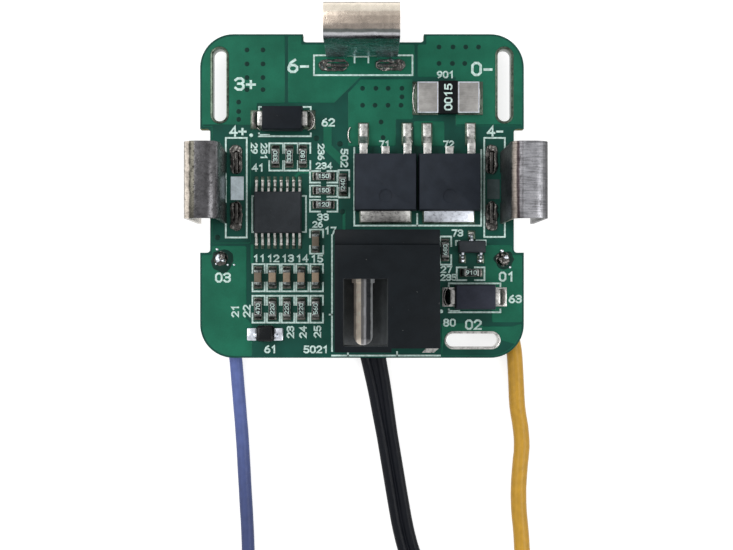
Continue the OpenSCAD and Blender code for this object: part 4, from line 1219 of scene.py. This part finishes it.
class BOARD_OT_contacts(Operator):
    """The three folded spring contacts and the solder round their tabs"""

    bl_idname = "board.contacts"
    bl_label = "Contacts"

    def execute(self, context):
        edge = context.scene.board_edges.sheet / MM
        for side, (axis, way, foot, top, outer, slot) in CONTACTS.items():
            bm = node_mesh(side + "_contact")
            blades = self.tab_blades(bm, axis)
            self.stand(bm, axis, way, foot, top, outer)
            round_edges(bm, edge, 3)
            for low, high in blades:
                add_block(bm, low, high, 0.05, 1)
            new_piece(side + "_contact_sheet", bm, (side + "_sheet", "dull_solder"),
                      (side + "_contact",))
        flowed("contact_tab_solder", "contact_solder", "dull_solder", 0.085, 0.16, 1)
        return {"FINISHED"}

    def tab_blades(self, bm, axis):
        """Lowest and highest corner of the two tabs, as blades within the solder."""
        ends = [v.co for v in bm.verts if v.co.z < TAB_END]
        reach = sorted({round(spot[axis], 3) for spot in ends})
        sides = sorted({round(spot[1 - axis], 3) for spot in ends})
        blades = []
        for near, far in (sides[:2], sides[2:]):
            low = Vector((0, 0, min(spot.z for spot in ends)))
            high = Vector((0, 0, TOP_Z + 0.1))
            low[axis], high[axis] = reach[0], reach[-1]
            low[1 - axis], high[1 - axis] = near, far
            blades.append((low, high))
        return blades

    def stand(self, bm, axis, way, foot, top, outer):
        """Stands the inner leg on the board and leans the arch and the outer leg."""
        def out(vertex):
            return vertex.co[axis] * way

        inner = {v for v in bm.verts if out(v) < OUTER_LEG and v.co.z < ARCH_LOW + NEAR}
        tabs = {v for v in inner if v.co.z < TAB_TOP + NEAR}
        leg = min(out(v) for v in inner if abs(v.co.z - LEG_LOW) < NEAR)
        tab = min(out(v) for v in tabs)
        start = min(out(v) for v in bm.verts if v.co.z > ARCH_LOW - NEAR)
        end = max(out(v) for v in bm.verts)
        shifts = []
        for vertex in bm.verts:
            spot = vertex.co
            if vertex in tabs:
                shifts.append(leg - tab + foot)
                spot.z = TOP_Z + 0.02 if spot.z > TAB_END else TOP_Z - 0.1
            elif vertex in inner and abs(spot.z - NOTCH_TOP) < NEAR:
                shifts.append(foot)
                spot.z = TOP_Z + 0.5
            elif vertex in inner:
                up = (spot.z - LEG_LOW) / (ARCH_LOW - LEG_LOW)
                shifts.append(foot + (top - foot) * up)
            elif spot.z > ARCH_LOW + NEAR:
                shifts.append(top + (outer - top) * (out(vertex) - start) / (end - start))
            else:
                shifts.append(outer)
        for vertex, shift in zip(bm.verts, shifts):
            vertex.co[axis] += way * shift


# Lowest and highest corner of the space inside the jack's case.
BORE_BOX = ((-2.45, -15.8, 4.2), (3.1, -6, 14.2))
# Corners of the tinned pad at the jack's mouth, as far as it is lit: its slanted side follows a
# shadow's edge, painted by leaving the shaded part out.
MOUTH_PAD_LIT_PART = ((6.3, -16.45), (7.55, -16.45), (8.1, -15.98), (6.75, -15.98))


class BOARD_OT_jack(Operator):
    """The charging jack: case, rear cover, centre pin, spring strips and tails"""

    bl_idname = "board.jack"
    bl_label = "Charging jack"

    def execute(self, context):
        edge = context.scene.board_edges.case
        low, high = BORE_BOX
        # Faces inside the bore take the lighter, painted-light copy of the case's plastic.
        soften("jack_case", "jack_housing", "jack_plastic", edge, 3, "jack_inside",
               lambda spot: all(a < c < b for a, c, b in zip(low, spot, high)))
        soften("jack_cover", "jack_rear_cover", "jack_plastic", edge * 0.7)
        soften("jack_centre_pin", "jack_pin", "plated_pin", 0.1 * MM, 3)
        dress("jack_spring", "spring_bronze")
        dress("jack_switch_contact", "spring_bronze")
        flowed("jack_tail_solder", "jack_solder", "bright_solder", 0.08, 0.12, 2)
        bm = bmesh.new()
        add_skin(bm, [[(x, y, z) for x, y in MOUTH_PAD_LIT_PART] for z in (TOP_Z - SINK, TOP_Z + 0.05)])
        new_piece("mouth_pad_lit_part", bm, ["tinned"])
        return {"FINISHED"}


# The power transistors' tabs lie in front of this line, and their leads behind it.
POWER_BODY_REAR = 3.5


class BOARD_OT_power(Operator):
    """The two power transistors: moulded bodies over their lead frames"""

    bl_idname = "board.power"
    bl_label = "Power transistors"

    def execute(self, context):
        edges = context.scene.board_edges
        # The second tab takes the brighter tin: a painted reflection of the light that its tilt
        # catches.
        for i, tab in ((1, "tinned"), (2, "cold_tin")):
            soften(f"power_body_{i}", f"power_moulding_{i}", "power_compound",
                   edges.moulding)
            soften(f"power_leads_{i}", f"power_frame_{i}", "tinned", edges.metal,
                   2, tab, lambda spot: spot.y < POWER_BODY_REAR)
        return {"FINISHED"}


class BOARD_OT_shunt(Operator):
    """The shunt: folded resistance strip, coated in the middle, with a plain number"""

    bl_idname = "board.shunt"
    bl_label = "Shunt"

    def execute(self, context):
        soften("shunt_metal_strip", "shunt_strip", "shunt_metal", 0.12 * MM, 3)
        soften("shunt_coat", "shunt_coating", "shunt_coating", 0.04 * MM)
        low, high = node_box("shunt_coating")
        middle = (low + high) / 2
        bm = bmesh.new()
        add_letters(bm, "0015", (middle.x, middle.y), 0.86, 90, high.z - 0.004, 0.014, 0.16)
        new_piece("shunt_number", bm, ["print_ink"], sharp=40)
        return {"FINISHED"}


class BOARD_OT_diodes(Operator):
    """The two power diodes and the small diode with their folded leads"""

    bl_idname = "board.diodes"
    bl_label = "Diodes"

    def execute(self, context):
        edges = context.scene.board_edges
        for which, finish in (("rear", "diode_compound"), ("front", "violet_compound")):
            soften(f"{which}_diode_body", f"{which}_diode_moulding", finish,
                   edges.moulding * 1.4, 3)
            soften(f"{which}_diode_ends", f"{which}_diode_leads", "tinned",
                   edges.metal)
        # The small diode's body is fuller than its packed block, and well rounded.
        low, high = node_box("small_diode_moulding")
        bm = bmesh.new()
        add_block(bm, (low.x, low.y - 0.02, low.z), (high.x, high.y + 0.38, high.z), 0.36, 0, 5)
        new_piece("small_diode_body", bm, ["glass_black"],
                  ("small_diode_moulding",))
        soften("small_diode_ends", "small_diode_leads", "cold_tin", edges.metal)
        return {"FINISHED"}


def signal_foot_places(low, high):
    """Each foot of the signal transistor within its box: middle x, outer end y, and way out."""
    half_foot = 0.2
    return (
        ((low.x + high.x) / 2, high.y, 1), (low.x + half_foot, low.y, -1),
        (high.x - half_foot, low.y, -1),
    )


class BOARD_OT_chips(Operator):
    """The control chip and the signal transistor with their bent leads"""

    bl_idname = "board.chips"
    bl_label = "Control chip and signal transistor"

    def execute(self, context):
        edges = context.scene.board_edges
        soften("control_chip_body", "control_chip_moulding", "chip_compound",
               edges.moulding * 0.8)
        soften("control_chip_feet", "control_chip_leads", "tinned",
               edges.metal * 0.4, 1)
        soften("signal_body", "signal_moulding", "chip_compound",
               edges.moulding * 0.8)
        self.signal_feet(edges.metal / MM)
        return {"FINISHED"}

    def signal_feet(self, edge):
        """The signal transistor's feet, narrower than their packed blocks."""
        bm = node_mesh("signal_leads")
        feet = [x for x, y, side in signal_foot_places(*node_box("signal_leads"))]
        for vertex in bm.verts:
            nearest = min(feet, key=lambda x: abs(x - vertex.co.x))
            vertex.co.x = nearest + (vertex.co.x - nearest) * 0.65
        round_edges(bm, edge, 1)
        new_piece("signal_feet", bm, ["cold_tin"], ("signal_leads",))


# Printed numbers on the chip resistors, from the first to the last.
VALUES = ("470", "220", "220", "220", "560", "330", "330", "180", "150", "150", "120",
          "240", "680", "910")
CAPACITORS = 6
DARK_CAPACITORS = (1, 6)
# Length of the tinned ends.
RESISTOR_END = 0.3
CAPACITOR_END = 0.34


def chip_place(node):
    """Middle of a chip part's foot, its length, width and height, and its turn."""
    low, high = node_box(node)
    size = high - low
    upright = size.y > size.x
    middle = (low + high) / 2
    return (
        Vector((middle.x, middle.y, low.z)), max(size.x, size.y), min(size.x, size.y), size.z,
        90 if upright else 0,
    )


def chip_body(bm, long, wide, low, high, edge, steps):
    """The ceramic of a chip part between two heights, a little inside its tinned ends."""
    half_long, half_wide = long / 2 - 0.05, wide / 2 - 0.03
    add_block(bm, (-half_long, -half_wide, low), (half_long, half_wide, high), edge, 0, steps)


def chip_ends(bm, long, wide, tall, end, edge, index):
    """The two tinned ends of a chip part drawn about the origin."""
    for side in (-1, 1):
        inner, outer = sorted((side * (long / 2 - end), side * long / 2))
        add_block(bm, (inner, -wide / 2, 0), (outer, wide / 2, tall), edge, index, 3)


def carry(bm, spot, turn):
    """Carries a part drawn about the origin to its place on the board."""
    bm.transform(Matrix.Translation(spot) @ Matrix.Rotation(math.radians(turn), 4, "Z"))


class BOARD_OT_resistors(Operator):
    """The chip resistors: ceramic body, glazed top with plain numbers, tinned ends"""

    bl_idname = "board.resistors"
    bl_label = "Chip resistors"

    def execute(self, context):
        for i, value in enumerate(VALUES, 1):
            node = f"resistor_{i}"
            spot, long, wide, tall, turn = chip_place(node)
            bm = bmesh.new()
            chip_body(bm, long, wide, 0.02, tall - 0.04, 0.03, 2)
            half_long, half_wide = long / 2 - RESISTOR_END + 0.03, wide / 2 - 0.05
            add_block(bm, (-half_long, -half_wide, tall - 0.06),
                      (half_long, half_wide, tall - 0.008), 0.03, 1)
            chip_ends(bm, long, wide, tall, RESISTOR_END, 0.07, 2)
            add_letters(bm, value, (0, 0), 0.46, 0, tall - 0.01, 0.01, 0.075, 3)
            carry(bm, spot, turn)
            new_piece(f"chip_resistor_{i}", bm,
                      ["alumina", "resistor_glaze", "end_tin", "print_ink"],
                      (node,))
        return {"FINISHED"}


class BOARD_OT_capacitors(Operator):
    """The chip capacitors: rounded ceramic bodies with tinned ends"""

    bl_idname = "board.capacitors"
    bl_label = "Chip capacitors"

    def execute(self, context):
        for i in range(1, CAPACITORS + 1):
            node = f"capacitor_{i}"
            spot, long, wide, tall, turn = chip_place(node)
            bm = bmesh.new()
            chip_body(bm, long, wide, 0.03, tall - 0.03, 0.07, 3)
            chip_ends(bm, long, wide, tall, CAPACITOR_END, 0.1, 1)
            carry(bm, spot, turn)
            new_piece(f"chip_capacitor_{i}", bm,
                      ["dark_dielectric" if i in DARK_CAPACITORS else "dielectric", "dull_tin"],
                      (node,))
        return {"FINISHED"}


# From one of the control chip's leads to the next, and how many are on a side.
CHIP_PITCH = 0.65
CHIP_SIDE = 8
# Order of the finishes on the solder.
BRIGHT, DULL_PAINTED_DARK, PAINTED_HIGHLIGHT = range(3)
# Bright rims of solder at the power diodes, the shunt and the power transistors' outer leads:
# place, side it bows to, reach and width.
RIMS = (
    (-10.6, 7.9, -1, 0.5, 2.0), (-5.75, 7.9, 1, 0.75, 2.0), (9.2, -10.6, -1, 0.55, 1.9),
    (5.7, 10.25, -1, 0.35, 3.0), (12.15, 10.25, 1, 0.2, 2.7),
    (-1.15, 6.4, -1, 0.3, 1.6), (5.35, 6.4, -1, 0.3, 1.5),
)
# Left and right edges of the lumps of solder on the small diode's pads.
SMALL_DIODE_PADS = ((-12.08, -11.05), (-9.3, -8.25))
# Beads of solder beside the leads' joints and other parts: place and radius.
BEADS = (
    (-15.32, -7.13, 0.12), (-14.1, -7.22, 0.12), (-13.43, -7.22, 0.12),
    (-15.2, -5.6, 0.16), (14.7, -5.78, 0.2), (15.53, -7.48, 0.14),
    (11.3, -4.2, 0.16), (11.35, -4.7, 0.14), (10.35, -6.2, 0.15), (10.5, -6.8, 0.24),
    (12.25, -6.2, 0.15), (12.35, -6.8, 0.24), (6.98, -7.6, 0.09), (1.26, -11.87, 0.07),
)
# Painted highlights on the two leads' domes, as small bright mounds: place and half widths.
DOME_HIGHLIGHTS = ((-15.08, -6.62, 0.26, 0.42), (-14.55, -6.8, 0.2, 0.14), (15.1, -6.45, 0.3, 0.2))
# Left and right edges of the shunt's two bare blocks, and their ends; the bright lines along their
# outlines are painted highlights.
SHUNT_BLOCKS = ((5.85, 7.9), (10.1, 12.2))
SHUNT_FRONT, SHUNT_REAR = 8.68, 11.82


class BOARD_OT_joints(Operator):
    """Solder fillets at the parts' ends and feet, and the domes on the leads' holes"""

    bl_idname = "board.joints"
    bl_label = "Solder fillets and domes"

    def execute(self, context):
        bm = bmesh.new()
        self.chip_toes(bm)
        self.foot_toes(bm)
        for x, y, side, reach, width in RIMS:
            add_rim(bm, (x, y), side, reach, width, 0.07, TOP_Z + 0.16)
        for x0, x1 in SMALL_DIODE_PADS:
            add_block(bm, (x0, -15.2, TOP_Z), (x1, -13.85, TOP_Z + 0.32), 0.14, PAINTED_HIGHLIGHT, 3)
        for x, y, r in BEADS:
            add_mound(bm, (x, y), r, r * 0.9, r * 0.8, TOP_Z + 0.03, 0.4, x + y, PAINTED_HIGHLIGHT)
        for x, y, rx, ry in DOME_HIGHLIGHTS:
            add_mound(bm, (x, y), rx, ry, 0.24, TOP_Z + 0.34, 0.5, y, PAINTED_HIGHLIGHT)
        # Painted highlights: bright strokes along the shunt blocks' edges.
        for x0, x1 in SHUNT_BLOCKS:
            add_stroke(bm, box_line(x0, SHUNT_FRONT, x1, SHUNT_REAR), 0.1, TOP_Z + 0.6,
                       TOP_Z + 1.02, PAINTED_HIGHLIGHT)
        new_piece("solder_fillets", bm, ["bright_solder", "dull_solder", "cold_tin"],
                  sharp=50)
        flowed("lead_solder_domes", "lead_joints", "dull_solder", 0.075, 0.2, 3)
        return {"FINISHED"}

    def chip_toes(self, bm):
        """Fillets at both ends of every chip part."""
        nodes = [f"resistor_{i}" for i in range(1, len(VALUES) + 1)]
        nodes += [f"capacitor_{i}" for i in range(1, CAPACITORS + 1)]
        for node in nodes:
            spot, long, wide, tall, turn = chip_place(node)
            way = Vector((0, 1)) if turn else Vector((1, 0))
            for side in (-1, 1):
                at = spot.xy + way * (side * (long / 2 - 0.02))
                rise = min(tall, 0.5) * 0.78
                add_toe(bm, at, way * side, wide * 0.92, 0.36, rise, spot.z, DULL_PAINTED_DARK)

    def foot_toes(self, bm):
        """Fillets at the feet of the control chip, the power diodes and the transistor."""
        low, high = node_box("control_chip_leads")
        for side, edge in ((-1, low.y), (1, high.y)):
            for k in range(CHIP_SIDE):
                x = (low.x + high.x) / 2 + (k - (CHIP_SIDE - 1) / 2) * CHIP_PITCH
                add_toe(bm, (x, edge - side * 0.05), (0, side), 0.27, 0.3, 0.16, low.z, BRIGHT, 4)
        for which in ("rear", "front"):
            low, high = node_box(which + "_diode_leads")
            for side, edge in ((-1, low.x), (1, high.x)):
                add_toe(bm, (edge - side * 0.03, (low.y + high.y) / 2), (side, 0),
                        (high.y - low.y) * 1.1, 0.7, 0.8, low.z, DULL_PAINTED_DARK)
        low, high = node_box("signal_leads")
        for x, edge, side in signal_foot_places(low, high):
            add_toe(bm, (x, edge - side * 0.04), (0, side), 0.5, 0.32, 0.2, low.z, BRIGHT)


# The leads' underside is this far above the floor. Their routes are given points.
LEAD_FLOOR = 0.02
BLUE_ROUTE = (
    (-14.7, -8.2, 1.05), (-14.55, -10, 0.9), (-14.3, -12.5, 0.75), (-13.95, -14.8, 0.72),
    (-13.55, -17, 0.72), (-13.3, -19.8, 0.72), (-13.05, -22.8, 0.72), (-12.8, -26, 0.72),
    (-12.62, -29.2, 0.72), (-12.44, -32.4, 0.72), (-12.26, -35.6, 0.72),
    (-12.16, -38.8, 0.72), (-12.14, -41.6, 0.72), (-12.14, -44.6, 0.72),
)
YELLOW_ROUTE = (
    (14.85, -8.2, 1.05), (15, -10, 0.97), (15.35, -12.2, 0.9), (15.8, -14.3, 0.87),
    (16.25, -16.3, 0.87), (16.45, -19.3, 0.87), (16.6, -22.3, 0.87), (16.95, -24.6, 0.87),
    (17.08, -26.6, 0.87), (16.9, -28.6, 0.87), (16.74, -31, 0.87), (16.78, -33.4, 0.87),
    (17, -35.8, 0.87), (17.15, -38.6, 0.87), (17.2, -41.4, 0.87), (17.2, -44.5, 0.87),
)
TWIN_ROUTE = (
    (0.9, -14.6, 0.95), (1, -16, 0.75), (1.3, -17.6, 0.6), (1.85, -20.4, 0.6),
    (2.35, -23.4, 0.6), (2.85, -26.4, 0.6), (3.35, -29.4, 0.6), (3.85, -32.4, 0.6),
    (4.4, -35.4, 0.6), (5.1, -38, 0.6), (5.85, -39.25, 0.6), (6.35, -39.95, 0.6),
    (7.85, -41.52, 0.6),
)


# A sense lead's flat coil: outer radius, turns, radius of the bend inside it and last reach.
COIL_RADIUS, COIL_TURNS, COIL_BEND, COIL_END = 8.4, 1.5, 2.6, 2.6
# The twin lead's coil: middle, outer radius, turns, and the bend inside it.
TWIN_MIDDLE, TWIN_RADIUS, TWIN_TURNS, TWIN_BEND = (2.6, -52.8), 11.9, 408 / 360, 5.0
# Gap between a coil's turns.
TURN_GAP = 0.03


def bend_inward(middle, inner, bend, side, rise, z):
    """The quarter bend that leads from a coil's last turn to its straight end."""
    turns = [math.radians(15 * k) for k in range(1, 7)]
    return [
        Vector((middle[0] + side * (inner - bend + bend * math.cos(a)),
                middle[1] + rise * bend * math.sin(a), z))
        for a in turns
    ]


def coil_path(route, middle, side, d, z):
    """Route, coil and straight end of a sense lead; side is -1 for one that winds clockwise."""
    pitch = d + TURN_GAP
    first = 90 + 90 * side
    path = smooth_route(route)
    path += spiral(middle, COIL_RADIUS, pitch, COIL_TURNS, first, side, z)
    path += bend_inward(middle, COIL_RADIUS - pitch * COIL_TURNS, COIL_BEND, side, 1, z)
    path.append(Vector((middle[0] + side * COIL_END, middle[1] + COIL_BEND, z)))
    return path


def twin_path(core, z):
    """Route and coil of the twin lead, with its end raised to the bead's middle."""
    pitch = 2 * core + TURN_GAP
    path = smooth_route(TWIN_ROUTE)
    path += spiral(TWIN_MIDDLE, TWIN_RADIUS, pitch, TWIN_TURNS, 48, -1, z)
    inner = TWIN_RADIUS - pitch * TWIN_TURNS
    path += bend_inward(TWIN_MIDDLE, inner, TWIN_BEND, 1, -1, z)
    end_y = TWIN_MIDDLE[1] - TWIN_BEND
    path.append(Vector((TWIN_MIDDLE[0] + 3.2, end_y, z)))
    path.append(Vector((TWIN_MIDDLE[0] + 2.4, end_y, z + 0.25)))
    return path


def twin_section(core):
    """Section along the twin lead: two round cores side by side, apart where they leave."""
    half = core / 2
    arcs = [math.radians(28 + 304 * k / 13) for k in range(14)]

    def section(i):
        apart = half * (1 + 0.62 * max(0, 1 - i / 14))
        right = [(apart - half * math.cos(a), -half * math.sin(a)) for a in arcs]
        return right + [(-s, -u) for s, u in right]

    return section


def add_bead(bm, low, high):
    """A dipped drop of resin: thin neck on the right, full in the middle, round at its end."""
    centre_y, centre_z = (low.y + high.y) / 2, (low.z + high.z) / 2
    radius = (high.z - low.z) / 2
    rings = []
    for k in range(15):
        t = k / 14
        r = radius * min(1, 0.45 + 0.55 * math.sin(min(1, t / 0.62) * math.pi / 2))
        if t > 0.72:
            r *= math.sqrt(max(0, 1 - ((t - 0.72) / 0.28) ** 2))
        r = max(r, 0.08)
        sag = (radius - r) * 0.35 * (1 - t)
        x = high.x - (high.x - low.x) * t
        rings.append([(x, centre_y + u, centre_z - sag + v) for u, v in circle(r, 24)])
    add_skin(bm, rings)


def add_strands(bm, start, way, run, radius, z):
    """Tinned strands twisted together and soldered into one end."""
    strand = radius * 0.42
    for k in range(6):
        line = []
        for i in range(13):
            turn = 2 * math.pi * (k / 6 + 0.55 * i / 12)
            pinch = 1 - 0.35 * max(0, i / 12 - 0.75)
            line.append(Vector((
                start[0] + way * run * i / 12,
                start[1] + (radius - strand) * pinch * math.cos(turn),
                z + (radius - strand) * pinch * math.sin(turn),
            )))
        add_path_tube(bm, line, round_section(strand, 10))
    core = [Vector((start[0] + way * run * t, start[1], z)) for t in (0, 0.5, 0.985)]
    add_path_tube(bm, core, round_section(radius * 0.6, 12))


class BOARD_OT_leads(Operator):
    """The blue and yellow sense leads and the black twin lead with its thermistor"""

    bl_idname = "board.leads"
    bl_label = "Leads"

    def execute(self, context):
        sizes = context.scene.board_leads
        self.sense_lead("blue", BLUE_ROUTE, (-20.54, -49.5), -1, sizes.blue_diameter / MM,
                        sizes.blue_length)
        self.sense_lead("yellow", YELLOW_ROUTE, (25.65, -49.5), 1, sizes.yellow_diameter / MM,
                        sizes.yellow_length)
        self.twin_lead(sizes.twin_core / MM, sizes.twin_length)
        return {"FINISHED"}

    def sense_lead(self, which, route, middle, side, d, run):
        """One sense lead, coiled towards its side, with its bare strands."""
        path = coil_path(route, middle, side, d, d / 2 + LEAD_FLOOR)
        bm = bmesh.new()
        random.seed(which)
        wobble = [1 - 0.02 * random.random() for _ in path]
        ring = circle(d / 2, 24)
        add_path_tube(bm, path, lambda i: [(s * wobble[i], u * wobble[i]) for s, u in ring])
        lead = new_piece(which + "_sense_lead", bm, [which + "_jacket"],
                         (which + "_lead", which + "_coil"), sharp=50)
        bm = bmesh.new()
        low, high = node_box(which + "_end")
        start = (low.x if side < 0 else high.x) + side * 0.3
        add_strands(bm, (start, (low.y + high.y) / 2), -side, high.x - low.x + 0.3,
                    (high.y - low.y) / 2, (low.z + high.z) / 2)
        end = new_piece(which + "_bare_end", bm, ["bright_solder"], (which + "_end",),
                        sharp=50)

    def twin_lead(self, core, run):
        """The black twin lead and the resin bead of its thermistor."""
        path = twin_path(core, core / 2 + LEAD_FLOOR)
        bm = bmesh.new()
        add_path_tube(bm, path, twin_section(core))
        lead = new_piece("thermistor_lead", bm, ["black_jacket"],
                         ("twin_lead", "twin_coil"), sharp=50)
        bm = bmesh.new()
        add_bead(bm, *node_box("thermistor_bead"))
        bead = new_piece("thermistor_drop", bm, ["bead_resin"],
                         ("thermistor_bead",), sharp=50)


# From the floor's middle to its sides, in metres.
FLOOR_REACH = 3.0
# The camera hangs over this place on the board and is shifted by these shares of its width.
CAMERA_FOOT = (0.42, -9.66)
CAMERA_SHIFT = (0.0007, 0.0177)


class BOARD_OT_stage(Operator):
    """The pale floor, the lights and the camera above the board"""

    bl_idname = "board.stage"
    bl_label = "Stage"

    def execute(self, context):
        scene = context.scene
        setup = scene.board_studio
        scene.view_settings.view_transform = "Standard"
        self.lay_floor(scene)
        self.light_sky(scene, setup.sky)
        for name, at, size, power in (
            ("key_lamp", (-0.34, 0.12, 0.46), 0.34, setup.key),
            ("fill_lamp", (0.38, -0.1, 0.42), 0.3, setup.fill),
        ):
            lamp = bpy.data.lights.new(name, "AREA")
            lamp.energy = power
            lamp.size = size
            holder = bpy.data.objects.new(name, lamp)
            holder.location = at
            holder.rotation_mode = "QUATERNION"
            holder.rotation_quaternion = (-Vector(at)).to_track_quat("-Z", "Y")
            scene.collection.objects.link(holder)
        self.hang_camera(scene, setup)
        return {"FINISHED"}

    def lay_floor(self, scene):
        bm = bmesh.new()
        bmesh.ops.create_grid(bm, x_segments=24, y_segments=24, size=FLOOR_REACH)
        mesh = bpy.data.meshes.new("studio_floor")
        bm.to_mesh(mesh)
        bm.free()
        mesh.materials.append(finish_of("floor_paper"))
        floor = bpy.data.objects.new("studio_floor", mesh)
        scene.collection.objects.link(floor)

    def hang_camera(self, scene, setup):
        camera = bpy.data.cameras.new("camera")
        camera.sensor_width = 36
        camera.lens = setup.lens
        camera.shift_x, camera.shift_y = CAMERA_SHIFT
        camera.clip_start, camera.clip_end = 0.005, 20
        holder = bpy.data.objects.new("camera", camera)
        foot = TO_FRAME @ Vector((*CAMERA_FOOT, TOP_Z))
        holder.location = foot + Vector((0, 0, setup.height))
        scene.collection.objects.link(holder)
        scene.camera = holder

    def light_sky(self, scene, strength):
        """Even light from all round; mirrors and the eye see white, a little grey overhead."""
        world = bpy.data.worlds.new("studio_sky")
        scene.world = world
        world.use_nodes = True
        f = Finish(world.node_tree)
        up = f.axis(f.node("ShaderNodeTexCoord", output="Generated"), "Z")
        overhead = f.mix(up.ramp(0.55, 1.0), (1, 1, 1, 1), (0.62, 0.62, 0.63, 1))
        lit = f.node("ShaderNodeBackground", sockets={
            "Color": (1, 1, 1, 1), "Strength": strength})
        shown = f.node("ShaderNodeBackground", sockets={"Color": overhead, "Strength": 1.0})
        both = f.node("ShaderNodeMixShader", sockets={0: f.looked_at(), 1: lit, 2: shown})
        f.node("ShaderNodeOutputWorld", sockets={"Surface": both})


OPERATORS = (
    BOARD_OT_stage, BOARD_OT_leads, BOARD_OT_mask, BOARD_OT_print, BOARD_OT_contacts,
    BOARD_OT_jack, BOARD_OT_power, BOARD_OT_shunt, BOARD_OT_diodes, BOARD_OT_chips,
    BOARD_OT_resistors, BOARD_OT_capacitors, BOARD_OT_joints,
)
SETTINGS = (
    ("board_colours", BoardColours), ("board_print", PrintSizes), ("board_edges", EdgeSizes),
    ("board_leads", LeadSizes), ("board_studio", StudioSetup),
)


class BOARD_PT_panel(Panel):
    """Lists the settings and the operators in the sidebar"""

    bl_idname = "BOARD_PT_panel"
    bl_label = "Board"
    bl_space_type = "VIEW_3D"
    bl_region_type = "UI"
    bl_category = "Board"

    def draw(self, context):
        layout = self.layout
        for name, group in SETTINGS:
            box = layout.box()
            for key in group.__annotations__:
                box.prop(getattr(context.scene, name), key)
        for operator in OPERATORS:
            layout.operator(operator.bl_idname)


def register():
    for name, group in SETTINGS:
        bpy.utils.register_class(group)
        setattr(bpy.types.Scene, name, PointerProperty(type=group))
    for kind in (*OPERATORS, BOARD_PT_panel):
        bpy.utils.register_class(kind)


def unregister():
    for kind in reversed((*OPERATORS, BOARD_PT_panel)):
        bpy.utils.unregister_class(kind)
    for name, group in reversed(SETTINGS):
        delattr(bpy.types.Scene, name)
        bpy.utils.unregister_class(group)


def main():
    register()
    for operator in OPERATORS:
        group, name = operator.bl_idname.split(".")
        getattr(getattr(bpy.ops, group), name)()


if __name__ == "__main__":
    main()
